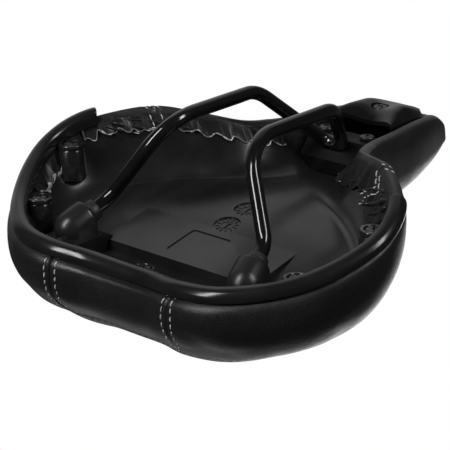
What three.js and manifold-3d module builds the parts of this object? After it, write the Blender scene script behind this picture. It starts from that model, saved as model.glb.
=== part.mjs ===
// Wide padded two-wheeler seat, millimetres.
// +X is the rider's right, +Y points to the nose, +Z is up through the cushion.
// The origin is midway between the two straight clamp sections of the rail, on their centreline.
import * as THREE from 'three';
import { mergeVertices, mergeGeometries } from 'three/addons/utils/BufferGeometryUtils.js';
import Module from 'manifold-3d';

const wasm = await Module();
wasm.setup();

// ---------- driving dimensions ----------
const RAIL_R = 3.5;            // 7 mm rod
const RAIL_SIDES = 12;         // one facet faces straight down, one straight up
const RAIL_HALF_GAP = 22;      // the clamp sections lie 44 mm apart
const CLAMP_HALF = 31.6;       // corner of the clamp section, before and behind the origin
const FIT = 0.3;               // clearance between neighbouring pieces
const COVER_T = 1.2;           // cover sheet
const PAN_T = 2.6;             // moulded base pan
const WRAP_IN = 3.4;           // how far the cover laps in over the pan's edge
const PAN_LIP_DROP = 2.2;      // pan edge above the lowest line of the cover
const CROWN_POWER = 2.4;       // roundness of the cushion's section
const CHANNEL = 3.2;           // shallow relief along the middle of the cushion
const HEM_T = 1.1;
const SEAM_GAP = 0.4;
const REAR_SEAM = 1.86;        // seam stations, counted along RIM
const SIDE_SEAM = 9.9;
const TOP_SEAM = 0.62;         // seam of the top panel, as a fraction of the cushion section
const TRIM_END = 8.55;         // the rear trim stops here on each side
const HEMS = { front: [8.15, 12.6], rear: [5.75, 6.9] };   // stations where the tucked-in hem shows
const HEM_W = 8;
const LOOP_STEPS = 30;         // steps along half the rim

// Rim of the seat from the rear centre round the right side to the nose tip:
// x, y, z of the rim, bulge beyond it, height of the bulge, y of the spine point opposite,
// drop of the cover below the trim.
const RIM = [
  [0, -89.3, 43.5, 5.4, 12, -42, 2.5],
  [18, -90.3, 43.5, 5.4, 12, -41.4, 2.5],
  [36, -94.3, 43.5, 5.4, 12, -39.9, 2.5],
  [53.4, -92, 43, 5.3, 12, -37.4, 2.5],
  [69, -81.2, 41, 5.0, 12, -34, 2.5],
  [81, -67.4, 37.5, 4.5, 12, -30, 2.5],
  [90.2, -51.6, 31.5, 3.8, 12, -24, 2.5],
  [94.8, -36, 25, 3.2, 12, -17, 2.5],
  [92.4, -21.2, 18.5, 3.3, 13, -9, 2.5],
  [83.6, -8, 14.2, 3.8, 14, 0, 2.1],
  [66.5, 9.5, 12.8, 4.2, 15, 9, 0],
  [48, 24, 16.3, 4.4, 17, 20, 0],
  [35, 40, 21.2, 4.6, 19, 36, 0],
  [28.4, 59, 23.2, 5.2, 20, 57, 0],
  [25.2, 80, 25, 5.2, 20, 79, 0],
  [22.4, 102, 26, 4.8, 19, 99, 0],
  [18.4, 121, 28.6, 4.3, 17, 115, 0],
  [11, 137.5, 32.8, 6.0, 14, 124, 0],
  [0, 147, 37, 11, 12, 127.5, 0],
];
// height of the cushion's top and of the pan floor along the middle: y, z
const TOP_LINE = [[-100, 84], [-70, 87], [-45, 86], [-20, 82.5], [5, 78], [35, 72], [70, 66.5],
  [105, 61.8], [130, 56.6], [170, 47]];
const FLOOR_LINE = [[-100, 61], [-60, 60], [-47, 58], [-30, 52], [-10, 46.6], [15, 43.5], [45, 44],
  [75, 47], [110, 48], [150, 47]];
const WALL_W = 24;             // width of the pan's curved side wall

// Rear trim section: outward offset and height from the rim.
const TRIM_SECTION = [[3.0, 3.0], [3.4, 1.6], [2.8, -0.8], [1.2, -2.4], [-1.0, -3.1], [-3.2, -2.8],
  [-4.6, -1.6], [-5.0, 5.2], [-4.1, 5.2], [-3.5, 1.2], [0.4, 1.6], [2.0, 2.4]];
// Foot of the trim under the rear edge: the strip its rear screws go through.
const FOOT_SECTION = [[-6.6, 2.2], [-6.6, 6.4], [-17.5, 6.9], [-17.5, 8.4], [-4.6, 8.4], [-4.6, 2.2]];
const FOOT_END = 2.75;
// Trim screws: x, y, z of the ring face, ring radius, length.
const TRIM_SCREWS = [[85.6, -28, 25.6, 6.1, 11], [72.8, -63.5, 39.2, 6.1, 12],
  [38, -82, 48.6, 5.2, 7], [0, -75.5, 50.6, 5.2, 7]];
const POST_H = 14;
const SCREW_HEAD_R = 3.6;
const SCREW_HEAD_H = 2.2;
const SCREW_SHANK_R = 1.7;
const SCREW_LEN = 6.5;

const SOCKET = { x: 49.2, y: -67, z: 44.4, a: 7.7, b: 12, c: 7.6, front: -58.2 };
const SOCKET_PAD = { w: 19, y0: -78, y1: -57, z: 50.6 };
const ANCHOR = { halfW: 16, y0: 60, y1: 80, z0: 29.5, z1: 52, screwX: 12, screwY: 76 };
const STEP = { halfW: 43, y: -53.5, zTop: 54.6, back: 30 };
// Nose cap: rear edge at the sides, front edge, height of its face, where the face starts to fall and how
// steeply, inset from the rim, thickness, screw, depth of the notch and of the lip along the rear edge.
const CAP = { y0: 85, y1: 142.6, z0: 20, knee: 108, fall: 0.42, inset: 4.5, t: 2.2, screwY: 105,
  notch: 9, lip: 4.5, lipRun: 0.09 };
const LABEL = { w: 22, l: 20, y: -37, z: 53.2, tilt: 0.27, depth: 0.5 };
const STAMPS = [[-17.6, 48.4, 0.2], [-2.4, 45.5, 0.17]];

// ---------- helpers ----------
const V = (x, y, z) => new THREE.Vector3(x, y, z);
const lerpLine = (line, y) => {
  const n = line.length;
  if (y <= line[0][0]) return line[0][1];
  if (y >= line[n - 1][0]) return line[n - 1][1];
  const i = line.findIndex((p) => p[0] > y);
  const [y0, a] = line[i - 1];
  const [y1, b] = line[i];
  const m0 = i > 1 ? (b - line[i - 2][1]) / (y1 - line[i - 2][0]) : (b - a) / (y1 - y0);
  const m1 = i < n - 1 ? (line[i + 1][1] - a) / (line[i + 1][0] - y0) : (b - a) / (y1 - y0);
  const h = y1 - y0;
  const t = (y - y0) / h;
  return a * (2 * t ** 3 - 3 * t ** 2 + 1) + m0 * h * (t ** 3 - 2 * t ** 2 + t)
    + b * (3 * t ** 2 - 2 * t ** 3) + m1 * h * (t ** 3 - t ** 2);
};

// station s runs 0 (rear centre) .. 18 (nose tip) .. 36 (rear centre again, by the left side)
const LAST = RIM.length - 1;
const rimRow = (i) => {
  const j = i < 0 ? -i : i > LAST ? 2 * LAST - i : i;
  const row = RIM[j].slice();
  if (i !== j) row[0] = -row[0];
  return row;
};
function rimAt(s) {
  const side = s > LAST ? -1 : 1;
  const q = s > LAST ? 2 * LAST - s : s;
  const i = Math.min(Math.floor(q), LAST - 1);
  const t = q - i;
  const [a, b, c, d] = [-1, 0, 1, 2].map((k) => rimRow(i + k));
  const row = b.map((_, k) => 0.5 * (2 * b[k] + (c[k] - a[k]) * t
    + (2 * a[k] - 5 * b[k] + 4 * c[k] - d[k]) * t * t + (3 * b[k] - a[k] - 3 * c[k] + d[k]) * t ** 3));
  row[0] *= side;
  return row;
}
function frameAt(s) {
  const [x, y, z, bulge, bulgeH, spineY, drop] = rimAt(s);
  const e = 0.02;
  const [ax, ay] = rimAt((s - e + 2 * LAST) % (2 * LAST));
  const [bx, by] = rimAt((s + e) % (2 * LAST));
  const out = V(by - ay, ax - bx, 0).normalize();
  const dist = Math.hypot(x, y - spineY);
  const inward = V(-x / dist, (spineY - y) / dist, 0);
  return { p: V(x, y, z), out, inward, dist, bulge, bulgeH, spineY, low: z + drop };
}
// point at outward offset rho (negative: towards the spine) and absolute height z
const place = (f, rho, z) => (rho >= 0
  ? V(f.p.x, f.p.y, z).addScaledVector(f.out, rho)
  : V(f.p.x, f.p.y, z).addScaledVector(f.inward, -rho));

// Outer face of the cover: k 0 at the edge inside the rim, 1 on the spine.
const ROLL = 0.3;              // share of k spent on the rolled rim
function coverPoint(f, k) {
  const zc = f.p.z + f.bulgeH;
  if (k < ROLL) {
    const pts = [[-WRAP_IN, f.low + 0.3], [-1.2, f.low - 0.5], [0.3 * f.bulge + 1.2, f.low + 1.2],
      [0.82 * f.bulge + 0.4, f.low + 0.42 * (zc - f.low)], [f.bulge, zc]];
    const c = new THREE.CatmullRomCurve3(pts.map(([r, z]) => V(r, z, 0)), false, 'centripetal');
    const q = c.getPoint(k / ROLL);
    return place(f, q.x, q.y);
  }
  const a = ((k - ROLL) / (1 - ROLL)) * Math.PI / 2;
  const inRun = (f.dist + f.bulge) * (1 - Math.cos(a) ** (2 / CROWN_POWER));
  const rho = f.bulge - inRun;
  const y = f.p.y + (f.spineY - f.p.y) * Math.min(1, Math.max(0, -rho / f.dist));
  const top = lerpLine(TOP_LINE, y);
  const middle = Math.max(0, 1 + rho / f.dist);
  const relief = CHANNEL * Math.max(0, 1 - middle / 0.42) ** 2 * Math.min(1, f.dist / 60);
  return place(f, rho, zc + (top - zc) * Math.sin(a) ** (2 / CROWN_POWER) - relief);
}
// Dish face of the pan: d is the distance inside its edge.
function dishPoint(f, d) {
  const start = f.low + PAN_LIP_DROP;
  const y = f.p.y + (f.spineY - f.p.y) * Math.min(1, (WRAP_IN + d) / f.dist);
  const w = Math.min(WALL_W, 0.86 * (f.dist - WRAP_IN));
  const g = d >= w ? 1 : 1 - (1 - d / w) ** 2.3;
  return place(f, -WRAP_IN - d, start + (lerpLine(FLOOR_LINE, y) - start) * g);
}

// Grid of points over stations x parameters, and the same grid moved along its normals.
function grid(stations, params, point) {
  return stations.map((s) => {
    const f = frameAt(s);
    return params.map((k) => point(f, k));
  });
}
function normals(stations, params, point) {
  const e = 0.01;
  return stations.map((s) => {
    const fa = frameAt((s - e + 2 * LAST) % (2 * LAST));
    const fb = frameAt((s + e) % (2 * LAST));
    const f = frameAt(s);
    const span = params[params.length - 1] - params[0];
    const row = params.map((k, j) => {
      const dk = span * 0.004;
      const lo = j === 0 ? k : k - dk;
      const hi = j === params.length - 1 ? k : k + dk;
      const du = point(fb, k).sub(point(fa, k));
      const dv = point(f, hi).sub(point(f, lo));
      return du.cross(dv).normalize();
    });
    const end = params.length - 1;                 // straight up or down all along the spine
    if (params[end] === 1) row[end] = V(0, 0, Math.sign(row[end - 1].z));
    return row;
  });
}
const moved = (pts, nrm, t) => pts.map((row, i) => row.map((p, j) => p.clone().addScaledVector(nrm[i][j], t)));
// each half stays on its own side of the middle plane, and meets the other on the spine
function tidyMiddle(pts, onSpine) {
  for (const row of pts) {
    const side = Math.abs(row[0].x) < 1e-6 ? 0 : Math.sign(row[0].x);
    row.forEach((p, j) => {
      p.x = (onSpine && j === row.length - 1) ? 0 : side * Math.max(0, side * p.x);
    });
  }
  return pts;
}

class Soup {
  constructor() { this.v = []; }
  tri(a, b, c) { this.v.push(a.x, a.y, a.z, b.x, b.y, b.z, c.x, c.y, c.z); }
  quad(a, b, c, d) { this.tri(a, b, c); this.tri(a, c, d); }
  geometry() {
    const g = new THREE.BufferGeometry();
    g.setAttribute('position', new THREE.Float32BufferAttribute(this.v, 3));
    return clean(g);
  }
}
// welded, without triangles that closed up to nothing
function clean(geo) {
  const g = geo.index ? geo.toNonIndexed() : geo.clone();
  for (const k of Object.keys(g.attributes)) if (k !== 'position') g.deleteAttribute(k);
  const m = mergeVertices(g, 1e-4);
  const idx = m.index.array;
  const keep = [];
  for (let i = 0; i < idx.length; i += 3) {
    const [a, b, c] = [idx[i], idx[i + 1], idx[i + 2]];
    if (a !== b && b !== c && c !== a) keep.push(a, b, c);
  }
  m.setIndex(keep);
  return m;
}
// Solid between two matching grids. closedLoop joins the last station to the first;
// zipped means the last parameter lies on the spine, where the halves meet and need no wall.
function shell(outer, inner, closedLoop, zipped) {
  const s = new Soup();
  const n = outer.length;
  const m = outer[0].length;
  const steps = closedLoop ? n : n - 1;
  for (let i = 0; i < steps; i += 1) {
    const k = (i + 1) % n;
    for (let j = 0; j < m - 1; j += 1) {
      s.quad(outer[i][j], outer[k][j], outer[k][j + 1], outer[i][j + 1]);
      s.quad(inner[i][j], inner[i][j + 1], inner[k][j + 1], inner[k][j]);
    }
    s.quad(outer[i][0], inner[i][0], inner[k][0], outer[k][0]);
    if (!zipped) s.quad(outer[i][m - 1], outer[k][m - 1], inner[k][m - 1], inner[i][m - 1]);
  }
  if (!closedLoop) {
    for (let j = 0; j < m - 1; j += 1) {
      s.quad(outer[0][j], outer[0][j + 1], inner[0][j + 1], inner[0][j]);
      s.quad(outer[n - 1][j], inner[n - 1][j], inner[n - 1][j + 1], outer[n - 1][j + 1]);
    }
  }
  return s.geometry();
}

function toSolid(geo) {
  const g = clean(geo);
  const mesh = new wasm.Mesh({
    numProp: 3,
    vertProperties: Float32Array.from(g.attributes.position.array),
    triVerts: Uint32Array.from(g.index.array),
  });
  mesh.merge();
  return new wasm.Manifold(mesh);
}
function fromSolid(solid) {
  const mesh = solid.getMesh();
  const g = new THREE.BufferGeometry();
  const p = new Float32Array(mesh.numVert * 3);
  for (let i = 0; i < mesh.numVert; i += 1) {
    for (let k = 0; k < 3; k += 1) p[3 * i + k] = mesh.vertProperties[i * mesh.numProp + k];
  }
  g.setAttribute('position', new THREE.BufferAttribute(p, 3));
  g.setIndex(new THREE.BufferAttribute(Uint32Array.from(mesh.triVerts), 1));
  return g;
}
const box = (x0, x1, y0, y1, z0, z1) => new THREE.BoxGeometry(x1 - x0, y1 - y0, z1 - z0)
  .translate((x0 + x1) / 2, (y0 + y1) / 2, (z0 + z1) / 2);
// lathe about a vertical line; profile rows are radius, z
const turned = (profile, sides, x, y) => new THREE.LatheGeometry(
  profile.map(([r, z]) => new THREE.Vector2(r, z)), sides).rotateX(Math.PI / 2).translate(x, y, 0);
const peg = (r, z0, z1, sides, x, y) => turned([[0, z0], [r, z0], [r, z1], [0, z1]], sides, x, y);
const mirrored = (geo) => {
  const g = clean(geo).scale(-1, 1, 1);
  const a = g.index.array;
  for (let i = 0; i < a.length; i += 3) [a[i], a[i + 1]] = [a[i + 1], a[i]];
  return g;
};

// ---------- sampling shared by pan, foam and cover ----------
const snap = (list, value) => {
  let best = 0;
  list.forEach((v, i) => { if (Math.abs(v - value) < Math.abs(list[best] - value)) best = i; });
  list[best] = value;
};
const half = Array.from({ length: LOOP_STEPS + 1 }, (_, i) => (i * LAST) / LOOP_STEPS);
snap(half, REAR_SEAM);
snap(half, SIDE_SEAM);
const loop = half.concat(half.slice(1, -1).reverse().map((s) => 2 * LAST - s));
const COVER_K = [0, 0.06, 0.12, 0.2, ROLL, 0.38, 0.46, 0.54, TOP_SEAM, 0.72, 0.82, 0.91, 1];
const stationsBetween = (a, b) => {
  const inset = (s, dir) => {
    const f = frameAt(s % (2 * LAST));
    const g = frameAt((s + 0.01) % (2 * LAST));
    return s + dir * (SEAM_GAP / 2) * (0.01 / f.p.distanceTo(g.p));
  };
  const all = loop.concat(loop.map((s) => s + 2 * LAST)).filter((s) => s > a + 1e-6 && s < b - 1e-6);
  return [inset(a, 1), ...all, inset(b, -1)].map((s) => s % (2 * LAST));
};

function coverPatch(stations, ks, closedLoop, zipped) {
  const outer = grid(stations, ks, coverPoint);
  const inner = moved(outer, normals(stations, ks, coverPoint), -COVER_T);
  return shell(tidyMiddle(outer, zipped), tidyMiddle(inner, zipped), closedLoop, zipped);
}
const sidePanelK = COVER_K.filter((k) => k < TOP_SEAM).concat([TOP_SEAM - 0.004]);
const topPanelK = [TOP_SEAM + 0.004].concat(COVER_K.filter((k) => k > TOP_SEAM));

function foamPad() {
  const ks = COVER_K.filter((k) => k >= 0.2);
  const outerFace = grid(loop, ks, coverPoint);
  const outer = tidyMiddle(moved(outerFace, normals(loop, ks, coverPoint), -(COVER_T + 0.6)), true);
  const ds = PAN_D.slice(1);
  const inner = tidyMiddle(moved(grid(loop, ds, dishAlong), normals(loop, ds, dishAlong), PAN_T + 0.7), true);
  const s = new Soup();
  const n = loop.length;
  for (let i = 0; i < n; i += 1) {
    const k = (i + 1) % n;
    for (let j = 0; j < ks.length - 1; j += 1) s.quad(outer[i][j], outer[k][j], outer[k][j + 1], outer[i][j + 1]);
    for (let j = 0; j < ds.length - 1; j += 1) s.quad(inner[i][j], inner[i][j + 1], inner[k][j + 1], inner[k][j]);
    s.quad(outer[i][0], inner[i][0], inner[k][0], outer[k][0]);
  }
  return s.geometry();
}

const allTrimScrews = TRIM_SCREWS.flatMap((p) => (p[0] === 0 ? [p] : [p, [-p[0], ...p.slice(1)]]));

// ---------- base pan ----------
const PAN_D = [0, 0.04, 0.1, 0.18, 0.28, 0.45, 0.7, 1];
const dishAlong = (f, t) => dishPoint(f, t * (f.dist - WRAP_IN));
function dishSolid(low, high) {
  const face = grid(loop, PAN_D, dishAlong);
  const nrm = normals(loop, PAN_D, dishAlong);
  const a = tidyMiddle(moved(face, nrm, low), true);
  const b = tidyMiddle(moved(face, nrm, high), true);
  return toSolid(shell(b, a, true, true));
}
// everything from a clearance above the dish face upwards, used to trim pieces that stand on the pan
function panClearance(gap) {
  const face = grid(loop, PAN_D, dishAlong);
  const dish = moved(face, normals(loop, PAN_D, dishAlong), -gap);
  const a = tidyMiddle(dish.map((row, i) => {
    const f = frameAt(loop[i]);
    const z = f.low - 0.9;
    return gap > 0 ? [place(f, 14, z), place(f, -WRAP_IN - gap - 0.1, z), ...row] : row;
  }), true);
  const b = a.map((row) => row.map((p) => V(p.x, p.y, p.z + 60)));
  return toSolid(shell(b, a, true, true));
}
const socketPad = (side, grow) => box(side * SOCKET.x - SOCKET_PAD.w / 2 - grow,
  side * SOCKET.x + SOCKET_PAD.w / 2 + grow, SOCKET_PAD.y0 - grow, SOCKET_PAD.y1 + grow, SOCKET_PAD.z - grow, 75);
function basePan() {
  let pan = dishSolid(0, PAN_T);
  const add = (g) => { pan = pan.add(toSolid(g)); };
  const cut = (g) => { pan = pan.subtract(toSolid(g)); };
  const above = panClearance(-0.5 * PAN_T);       // added blocks end inside the pan's own thickness
  const addInside = (g) => { pan = pan.add(toSolid(g).subtract(above)); };
  const step = new THREE.Shape([
    new THREE.Vector2(STEP.y, STEP.zTop), new THREE.Vector2(STEP.y + STEP.back, STEP.zTop - 6.1),
    new THREE.Vector2(STEP.y + STEP.back, 75), new THREE.Vector2(STEP.y, 75)]);
  addInside(new THREE.ExtrudeGeometry(step, { depth: 2 * STEP.halfW, bevelEnabled: false })
    .rotateX(Math.PI / 2).rotateZ(Math.PI / 2).translate(-STEP.halfW, 0, 0));
  for (const side of [-1, 1]) addInside(socketPad(side, 0));
  addInside(peg(4.6, CAP.z0 + 3.8, 60, 16, 0, CAP.screwY));
  cut(peg(SCREW_SHANK_R + FIT, 10, CAP.z0 + 14, 10, 0, CAP.screwY));
  for (const [x, y, z] of allTrimScrews) cut(peg(SCREW_SHANK_R + FIT, z, 75, 10, x, y));
  cut(new THREE.BoxGeometry(LABEL.w, LABEL.l, 6).translate(0, 0, LABEL.depth - 3)
    .rotateX(-LABEL.tilt).translate(0, LABEL.y, LABEL.z - 0.5));
  for (const [y, z, tilt] of STAMPS) {
    cut(turned([[6.2, -3], [7, -3], [7, 0.5], [6.2, 0.5], [6.2, -3]], 20, 0, 0)
      .rotateX(-tilt).translate(0, y, z - 0.3));
    cut(new THREE.BoxGeometry(1.1, 7.4, 3.5).translate(0, 0, -1.25).rotateX(-tilt).translate(0, y, z - 0.3));
  }
  return fromSolid(pan);
}

// ---------- rear trim ----------
function rearTrim() {
  const ends = [2 * LAST - TRIM_END, 2 * LAST + TRIM_END];
  const inside = loop.concat(loop.map((s) => s + 2 * LAST)).filter((s) => s > ends[0] + 0.25 && s < ends[1] - 0.25);
  const list = [ends[0], ends[0] + 0.06, ends[0] + 0.16, ...inside, ends[1] - 0.16, ends[1] - 0.06, ends[1]];
  const shrink = (i) => [0.55, 0.86, 0.97][Math.min(i, list.length - 1 - i)] ?? 1;
  const rings = list.map((s, i) => {
    const f = frameAt(s % (2 * LAST));
    const q = shrink(i);
    return TRIM_SECTION.map(([r, z]) => V(f.p.x, f.p.y, f.p.z + 0.4 + (z - 0.4) * q)
      .addScaledVector(f.out, 0.4 + (r - 0.4) * q));
  });
  return loft(rings, TRIM_SECTION);
}
function trimFoot() {
  const inside = loop.concat(loop.map((s) => s + 2 * LAST))
    .filter((s) => s > 2 * LAST - FOOT_END && s < 2 * LAST + FOOT_END);
  const rings = inside.map((s) => {
    const f = frameAt(s % (2 * LAST));
    return FOOT_SECTION.map(([r, z]) => V(f.p.x, f.p.y, f.p.z + z).addScaledVector(f.out, r));
  });
  return toSolid(loft(rings, FOOT_SECTION)).subtract(panClearance(FIT));
}
// closed tube through rings of points, ends filled by a fan triangulation of the section
function loft(rings, section) {
  const s = new Soup();
  const m = rings[0].length;
  for (let i = 0; i < rings.length - 1; i += 1) {
    for (let j = 0; j < m; j += 1) {
      const k = (j + 1) % m;
      s.quad(rings[i][j], rings[i][k], rings[i + 1][k], rings[i + 1][j]);
    }
  }
  const flat = section.map(([r, z]) => new THREE.Vector2(r, z));
  const turn = Math.sign(THREE.ShapeUtils.area(flat));
  const e = rings[rings.length - 1];
  for (const tri of THREE.ShapeUtils.triangulateShape(flat, [])) {
    const [a, b, c] = Math.sign(THREE.ShapeUtils.area(tri.map((k) => flat[k]))) === turn ? tri
      : [tri[0], tri[2], tri[1]];
    s.tri(rings[0][a], rings[0][c], rings[0][b]);
    s.tri(e[a], e[b], e[c]);
  }
  return s.geometry();
}
function rearTrimWithPosts() {
  let trim = toSolid(rearTrim()).add(trimFoot());
  const room = panClearance(FIT + 0.1);
  for (const [x, y, z, r] of allTrimScrews) {
    const post = [[0, z], [r - 0.7, z], [r, z + 0.7], [r + 0.8, z + POST_H], [0, z + POST_H]];
    trim = trim.add(toSolid(turned(post, 14, x, y)).subtract(room));
  }
  for (const side of [-1, 1]) trim = trim.subtract(toSolid(socketPad(side, FIT)));
  for (const [x, y, z] of allTrimScrews) {
    trim = trim.subtract(toSolid(peg(SCREW_HEAD_R + 0.5, z - 9, z + 1.9, 16, x, y)))
      .subtract(toSolid(peg(SCREW_SHANK_R + FIT, z - 9, z + 40, 10, x, y)));
  }
  return fromSolid(trim);
}

// ---------- screws: domed head down, cross recess ----------
function screw(x, y, z, length) {
  const top = z - SCREW_HEAD_H;
  let s = toSolid(turned([[0, top], [SCREW_HEAD_R * 0.7, top + 0.4], [SCREW_HEAD_R, z - 0.6],
    [SCREW_HEAD_R, z], [SCREW_SHANK_R, z], [SCREW_SHANK_R, z + length - 1.4], [0, z + length]], 12, x, y));
  for (const [w, l] of [[1, 4], [4, 1]]) {
    s = s.subtract(toSolid(box(x - w / 2, x + w / 2, y - l / 2, y + l / 2, top - 1, top + 1.1)));
  }
  return fromSolid(s);
}

// ---------- rail ----------
function filleted(points) {
  const out = [points[0].p.clone()];
  for (let i = 1; i < points.length - 1; i += 1) {
    const { p, r, steps } = points[i];
    const a = points[i - 1].p.clone().sub(p).normalize();
    const b = points[i + 1].p.clone().sub(p).normalize();
    const angle = a.angleTo(b);
    const cut = r / Math.tan(angle / 2);
    const centre = p.clone().addScaledVector(a.clone().add(b).normalize(), r / Math.sin(angle / 2));
    const from = p.clone().addScaledVector(a, cut).sub(centre);
    const to = p.clone().addScaledVector(b, cut).sub(centre);
    const sweep = from.angleTo(to);
    for (let k = 0; k <= steps; k += 1) {
      const t = k / steps;
      out.push(centre.clone().addScaledVector(from, Math.sin((1 - t) * sweep) / Math.sin(sweep))
        .addScaledVector(to, Math.sin(t * sweep) / Math.sin(sweep)));
    }
  }
  out.push(points[points.length - 1].p.clone());
  return out;
}
// right half of the rod, from inside the socket to the middle of the loop in the nose
const LEG_SLOPE = V(-14.98, 30, 27.56).multiplyScalar(1 / 30);
const NOSE_LOOP = V(RAIL_HALF_GAP, CLAMP_HALF, 0).addScaledVector(LEG_SLOPE, 33.5);
const RAIL_PATH = filleted([
  { p: V(48.6, -65.5, 46) },
  { p: V(44.2, -47.5, 37.5), r: 12, steps: 5 },
  { p: V(RAIL_HALF_GAP, -CLAMP_HALF, 0), r: 24, steps: 7 },
  { p: V(RAIL_HALF_GAP, CLAMP_HALF, 0), r: 17, steps: 6 },
  { p: NOSE_LOOP, r: 5.2, steps: 5 },
  { p: V(0, NOSE_LOOP.y + 0.5, NOSE_LOOP.z + 0.5) },
]);
function rail(radius, startExtra) {
  const pts = RAIL_PATH.map((p) => p.clone());
  if (startExtra) pts[0].add(pts[0].clone().sub(pts[1]).setLength(startExtra));
  const tangent = pts.map((_, i) => pts[Math.min(i + 1, pts.length - 1)].clone()
    .sub(pts[Math.max(i - 1, 0)]).normalize());
  tangent[pts.length - 1].set(-1, 0, 0);
  const mid = tangent.findIndex((t) => Math.abs(t.y - 1) < 1e-3);
  const side = [];
  side[mid] = V(1, 0, 0);
  const carry = (from, to) => {
    const q = new THREE.Quaternion().setFromUnitVectors(tangent[from], tangent[to]);
    side[to] = side[from].clone().applyQuaternion(q);
  };
  for (let i = mid + 1; i < pts.length; i += 1) carry(i - 1, i);
  for (let i = mid - 1; i >= 0; i -= 1) carry(i + 1, i);
  const flatR = radius / Math.cos(Math.PI / RAIL_SIDES);
  const rings = pts.map((p, i) => {
    const up = tangent[i].clone().cross(side[i]);
    return Array.from({ length: RAIL_SIDES }, (_, k) => {
      const a = ((k + 0.5) * 2 * Math.PI) / RAIL_SIDES;
      return p.clone().addScaledVector(side[i], flatR * Math.cos(a)).addScaledVector(up, flatR * Math.sin(a));
    });
  });
  rings[rings.length - 1].forEach((p) => { p.x = 0; });
  const s = new Soup();
  for (let i = 0; i < rings.length - 1; i += 1) {
    for (let j = 0; j < RAIL_SIDES; j += 1) {
      const k = (j + 1) % RAIL_SIDES;
      s.quad(rings[i][j], rings[i][k], rings[i + 1][k], rings[i + 1][j]);
    }
  }
  for (let j = 1; j < RAIL_SIDES - 1; j += 1) s.tri(rings[0][0], rings[0][j + 1], rings[0][j]);
  const right = s.geometry();
  return clean(mergeGeometries([right, mirrored(right)]));
}
const railRoom = () => toSolid(rail(RAIL_R + FIT, 6));

// ---------- rear sockets and their sleeves ----------
const INTO_SOCKET = V(48.6 - 44.2, -65.5 + 47.5, 46 - 37.5).normalize();
const railPointAtY = (y) => RAIL_PATH[0].clone().addScaledVector(INTO_SOCKET, (y - RAIL_PATH[0].y) / INTO_SOCKET.y);
function socket() {
  const { x, y, z, a, b, c, front } = SOCKET;
  const g = new THREE.SphereGeometry(1, 20, 12);
  const pos = g.attributes.position;
  for (let i = 0; i < pos.count; i += 1) {
    const [px, py, pz] = [pos.getX(i), pos.getY(i), pos.getZ(i)];
    const m = (Math.abs(px) ** 3 + Math.abs(py) ** 3 + Math.abs(pz) ** 3) ** (1 / 3);
    pos.setXYZ(i, (px / m) * a, (pz / m) * b, (py / m) * c);
  }
  const body = clean(g);
  const idx = body.index.array;
  for (let i = 0; i < idx.length; i += 3) [idx[i], idx[i + 1]] = [idx[i + 1], idx[i]];
  body.rotateX(-0.12).rotateZ(0.1).translate(x, y, z);
  const mouth = new THREE.BoxGeometry(60, 60, 60).translate(0, 30, 0);
  mouth.applyQuaternion(new THREE.Quaternion().setFromUnitVectors(V(0, 1, 0), INTO_SOCKET));
  const at = railPointAtY(front);
  return fromSolid(toSolid(body).intersect(toSolid(mouth.translate(at.x, at.y, at.z)))
    .intersect(toSolid(box(x - 20, x + 20, y - 30, y + 30, z - 30, SOCKET_PAD.z - FIT)))
    .subtract(panClearance(FIT))
    .subtract(railRoom()));
}
function railSleeve() {
  const ring = [[RAIL_R + FIT, -4.6], [4.7, -4.6], [5.2, -4], [5.2, -0.4], [RAIL_R + FIT, -0.4],
    [RAIL_R + FIT, -4.6]];
  const g = new THREE.LatheGeometry(ring.map(([r, h]) => new THREE.Vector2(r, h)), 16);
  g.applyQuaternion(new THREE.Quaternion().setFromUnitVectors(V(0, 1, 0), INTO_SOCKET));
  const at = railPointAtY(SOCKET.front);
  return clean(g.translate(at.x, at.y, at.z));
}

// ---------- nose pieces ----------
function noseAnchor() {
  const { halfW, y0, y1, z0, z1, screwX, screwY } = ANCHOR;
  const outline = new THREE.Shape([new THREE.Vector2(y0, z0 + 9), new THREE.Vector2(y0 + 8, z0),
    new THREE.Vector2(y1, z0), new THREE.Vector2(y1, z1), new THREE.Vector2(y0, z1)]);
  let block = toSolid(new THREE.ExtrudeGeometry(outline, { depth: 2 * halfW, bevelEnabled: false })
    .rotateX(Math.PI / 2).rotateZ(Math.PI / 2).translate(-halfW, 0, 0));
  block = block.subtract(panClearance(FIT)).subtract(railRoom());
  for (const side of [-1, 1]) {
    block = block.subtract(toSolid(peg(SCREW_SHANK_R + FIT, z0 - 5, z0 + SCREW_LEN + 1, 10, side * screwX, screwY)));
  }
  return fromSolid(block);
}
// station on the right side of the neck at a given y
function neckStation(y) {
  let [from, to] = [10, LAST];
  for (let i = 0; i < 24; i += 1) {
    const middle = (from + to) / 2;
    if (rimAt(middle)[1] < y) from = middle; else to = middle;
  }
  return from;
}
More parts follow.
